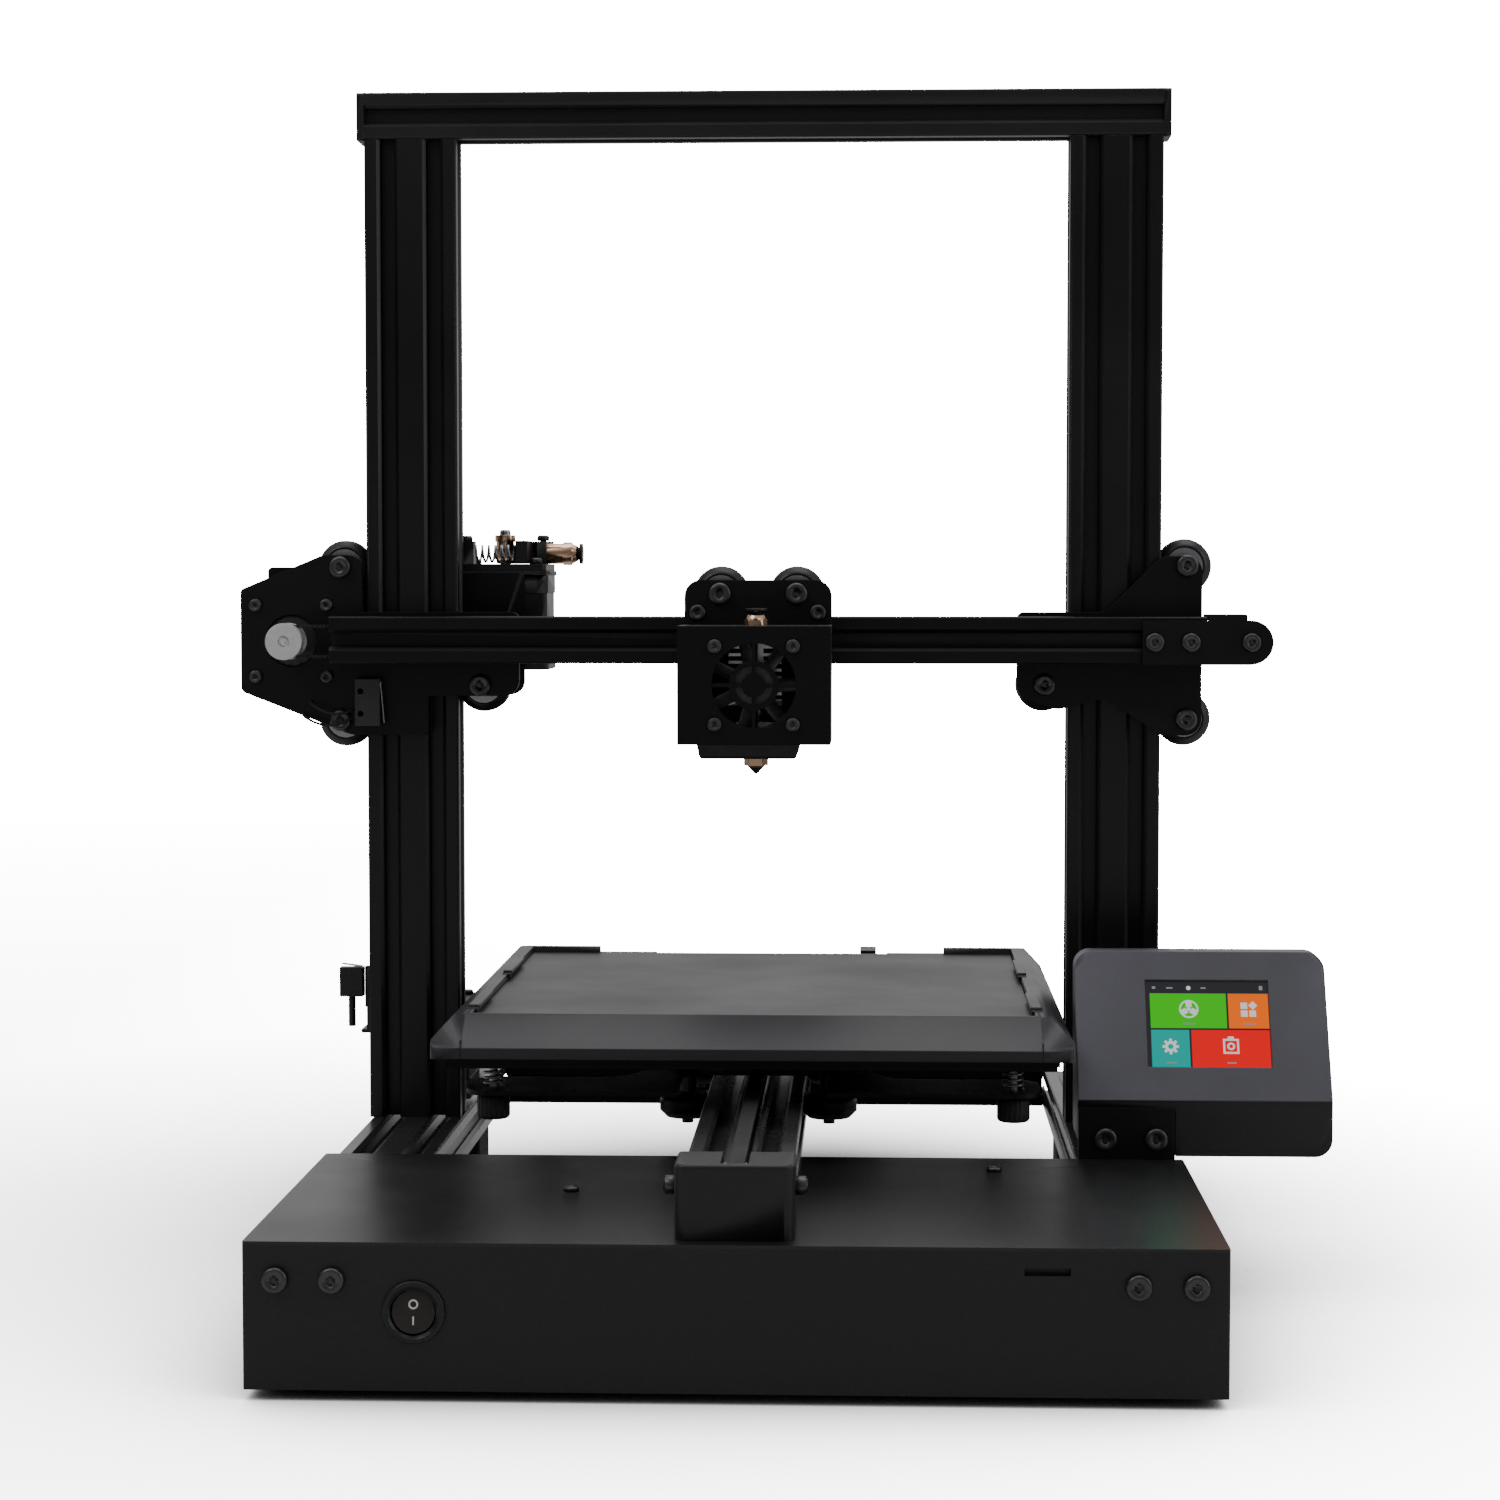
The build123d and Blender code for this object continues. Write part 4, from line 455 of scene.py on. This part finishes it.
captions = [
    (43.4, 48.2, 33.2, 33.8),
    (67.6, 72.6, 33.2, 33.8),
    (35.8, 40.0, 16.4, 17.0),
    (60.4, 64.0, 16.4, 17.0),
]
screen_box("tile_captions", captions, DIM, lift=top)


# ---------------------------------------------------------------- switch

FRONT = -284.5
switch = Matrix.Translation(place(-112.2, FRONT, 32.2)) @ Matrix.Rotation(math.radians(90), 4, "X")
switch = switch @ Matrix.Diagonal((0.001, 0.001, 0.001, 1))
signs = bmesh.new()
tilt = switch @ Matrix.Translation((0, 0, -1.2)) @ Matrix.Rotation(math.radians(-6.8), 4, "X")
add_disc(signs, (0, 2.6, 1.98), 1.75, 0.06, tilt, inner=1.1)
add_box(signs, (-0.3, -4.6, 1.98), (0.3, -1.6, 2.04), tilt)
new_piece("rocker_signs", signs, WHITE, "rocker_body")


# ---------------------------------------------------------------- bed details

tabs = bmesh.new()
# Dark slabs in the hollows before the clip tabs and in the slots at the front corners are painted shade.
recess_shade = bmesh.new()
for side in (-1, 1):
    for y0, y1, inner, outer in ((-96, -50, 112.6, 117.6), (16, 64, 112.4, 116.4)):
        low, high = sorted((side * inner, side * outer))
        add_box(tabs, (low, y0, 113.0), (high, y1, 115.0))
        add_box(recess_shade, (low + 0.2, y0 - 5.5, 112.2), (high - 0.2, y0 - 0.4, 114.0))
    low, high = sorted((side * 115.85, side * 116.15))
    add_box(recess_shade, (low, -132.12, 97.9), (high, -128.0, 105.2))
new_piece("bed_clips", tabs, FRAME, "bed", edge=0.5)
new_piece("bed_recesses", recess_shade, RUBBER, "bed", edge=0.2)


# ---------------------------------------------------------------- wires

LEAD_RADIUS = 0.55
lower_lead = [(-175.2, -18.5, 230), (-186, -22, 226), (-197, -20, 229), (-201, -12, 233)]
upper_lead = [(-175.2, -18.5, 233), (-184, -23, 231), (-193, -21, 234), (-198, -12, 238)]
tube("endstop_lead_a", lower_lead, LEAD_RADIUS, RUBBER, "gantry")
tube("endstop_lead_b", upper_lead, LEAD_RADIUS, RUBBER, "gantry")


# ---------------------------------------------------------------- studio


FLOOR_NEAR = 10.0
FLOOR_FAR = 60.0
FLOOR_PAINTED_SHADOW = 0.08


def studio_floor():
    """Pale paper; the camera sees it glow, darker under and close behind the machine as painted shadow and
    painted contact shade, and brighter further back and to the right as painted light.
    """
    work = bmesh.new()
    rows = []
    profile = [(-4.0, 0.0), (-1.0, 0.0), (0.5, 0.0), (3.0, 0.0), (9.0, 0.0)]
    for y, z in profile:
        rows.append([work.verts.new((x, y, z)) for x in (-8, -2, 0, 2, 8)])
    for lower, upper in zip(rows, rows[1:]):
        for i in range(4):
            work.faces.new((lower[i], lower[i + 1], upper[i + 1], upper[i]))
    shape = bpy.data.meshes.new("studio_floor")
    work.to_mesh(shape)
    work.free()
    mat = bpy.data.materials.new("studio paper")
    mat.use_nodes = True
    tree = mat.node_tree
    paper = tree.nodes["Principled BSDF"]
    paper.inputs["Roughness"].default_value = 0.5
    paper.inputs["Base Color"].default_value = (0.55, 0.55, 0.55, 1)
    paper.inputs["Specular IOR Level"].default_value = 0.3
    # painted contact shade: ambient occlusion, raised to a power, darkens the floor's brightness next to the
    # machine
    shade = tree.nodes.new("ShaderNodeAmbientOcclusion")
    shade.samples = 12
    shade.inputs["Distance"].default_value = 0.34
    deep = tree.nodes.new("ShaderNodeMath")
    deep.operation = "POWER"
    deep.inputs[1].default_value = 2.8
    tree.links.new(shade.outputs["AO"], deep.inputs[0])
    spot = tree.nodes.new("ShaderNodeSeparateXYZ")
    where = tree.nodes.new("ShaderNodeNewGeometry").outputs["Position"]
    tree.links.new(where, spot.inputs["Vector"])
    # painted light: the floor is brighter further back and brighter towards the right than the left
    back = ramp(tree, spot.outputs["Y"], FLOOR_NEAR, FLOOR_FAR, -0.35, 5.0)
    right = ramp(tree, spot.outputs["X"], 0.45, 1.35, -0.5, 0.5)
    # painted shadow: the floor is darker towards the point under the machine, down to the shaded factor there
    away = tree.nodes.new("ShaderNodeVectorMath")
    away.operation = "DISTANCE"
    away.inputs[1].default_value = (0, 0.15, 0)
    tree.links.new(where, away.inputs[0])
    clear = ramp(tree, away.outputs["Value"], FLOOR_PAINTED_SHADOW, 1.0, 0.05, 0.6)
    light = tree.nodes.new("ShaderNodeEmission")
    power = back
    for factor in (right, clear, deep.outputs[0]):
        times = tree.nodes.new("ShaderNodeMath")
        times.operation = "MULTIPLY"
        tree.links.new(power, times.inputs[0])
        tree.links.new(factor, times.inputs[1])
        power = times.outputs[0]
    tree.links.new(power, light.inputs["Strength"])
    seen = tree.nodes.new("ShaderNodeLightPath")
    mix = tree.nodes.new("ShaderNodeMixShader")
    tree.links.new(seen.outputs["Is Camera Ray"], mix.inputs["Fac"])
    tree.links.new(paper.outputs["BSDF"], mix.inputs[1])
    tree.links.new(light.outputs["Emission"], mix.inputs[2])
    tree.links.new(mix.outputs["Shader"], tree.nodes["Material Output"].inputs["Surface"])
    shape.materials.append(mat)
    piece = bpy.data.objects.new("studio_floor", shape)
    bpy.context.collection.objects.link(piece)
    return piece


def area(name, location, aim, size, power):
    """A soft rectangular lamp, in metres and watts."""
    lamp = bpy.data.lights.new(name, "AREA")
    lamp.shape = "RECTANGLE"
    lamp.size, lamp.size_y = size
    lamp.energy = power
    piece = bpy.data.objects.new(name, lamp)
    piece.location = location
    piece.rotation_euler = (Vector(aim) - Vector(location)).to_track_quat("-Z", "Y").to_euler()
    bpy.context.collection.objects.link(piece)


floor = studio_floor()
area("key", (-1.6, -1.2, 2.2), (0, 0, 0.2), (1.4, 1.4), 14)
area("side", (2.2, -0.6, 1.0), (0, 0, 0.2), (1.0, 1.6), 9)
area("above", (0.2, 0.3, 2.6), (0, 0, 0), (2.2, 1.6), 22)

world = bpy.data.worlds.new("studio")
world.use_nodes = True
tree = world.node_tree
dim = tree.nodes["Background"]
dim.inputs["Color"].default_value = (1, 1, 1, 1)
toward = tree.nodes.new("ShaderNodeTexCoord")
split = tree.nodes.new("ShaderNodeSeparateXYZ")
tree.links.new(toward.outputs["Generated"], split.inputs["Vector"])
behind = ramp(tree, split.outputs["Y"], 0.0, 0.55, 0.15, 0.75)
overhead = ramp(tree, split.outputs["Z"], 0.10, 0.50, 0.05, 0.9)
total = tree.nodes.new("ShaderNodeMath")
tree.links.new(behind, total.inputs[0])
tree.links.new(overhead, total.inputs[1])
tree.links.new(total.outputs[0], dim.inputs["Strength"])
bright = tree.nodes.new("ShaderNodeBackground")
bright.inputs["Color"].default_value = (1, 1, 1, 1)
bright.inputs["Strength"].default_value = 20.0
seen = tree.nodes.new("ShaderNodeLightPath")
mix = tree.nodes.new("ShaderNodeMixShader")
tree.links.new(seen.outputs["Is Camera Ray"], mix.inputs["Fac"])
tree.links.new(dim.outputs["Background"], mix.inputs[1])
tree.links.new(bright.outputs["Background"], mix.inputs[2])
tree.links.new(mix.outputs["Shader"], tree.nodes["World Output"].inputs["Surface"])
bpy.context.scene.world = world

lens = bpy.data.cameras.new("camera")
lens.lens = 74.33
lens.sensor_width = 36
lens.clip_end = 60
camera = bpy.data.objects.new("camera", lens)
camera.location = place(48.74, -1352.99, 287.35)
camera.rotation_euler = (math.pi / 2 - 0.05374, 0, 0.04008)
bpy.context.collection.objects.link(camera)
bpy.context.scene.camera = camera
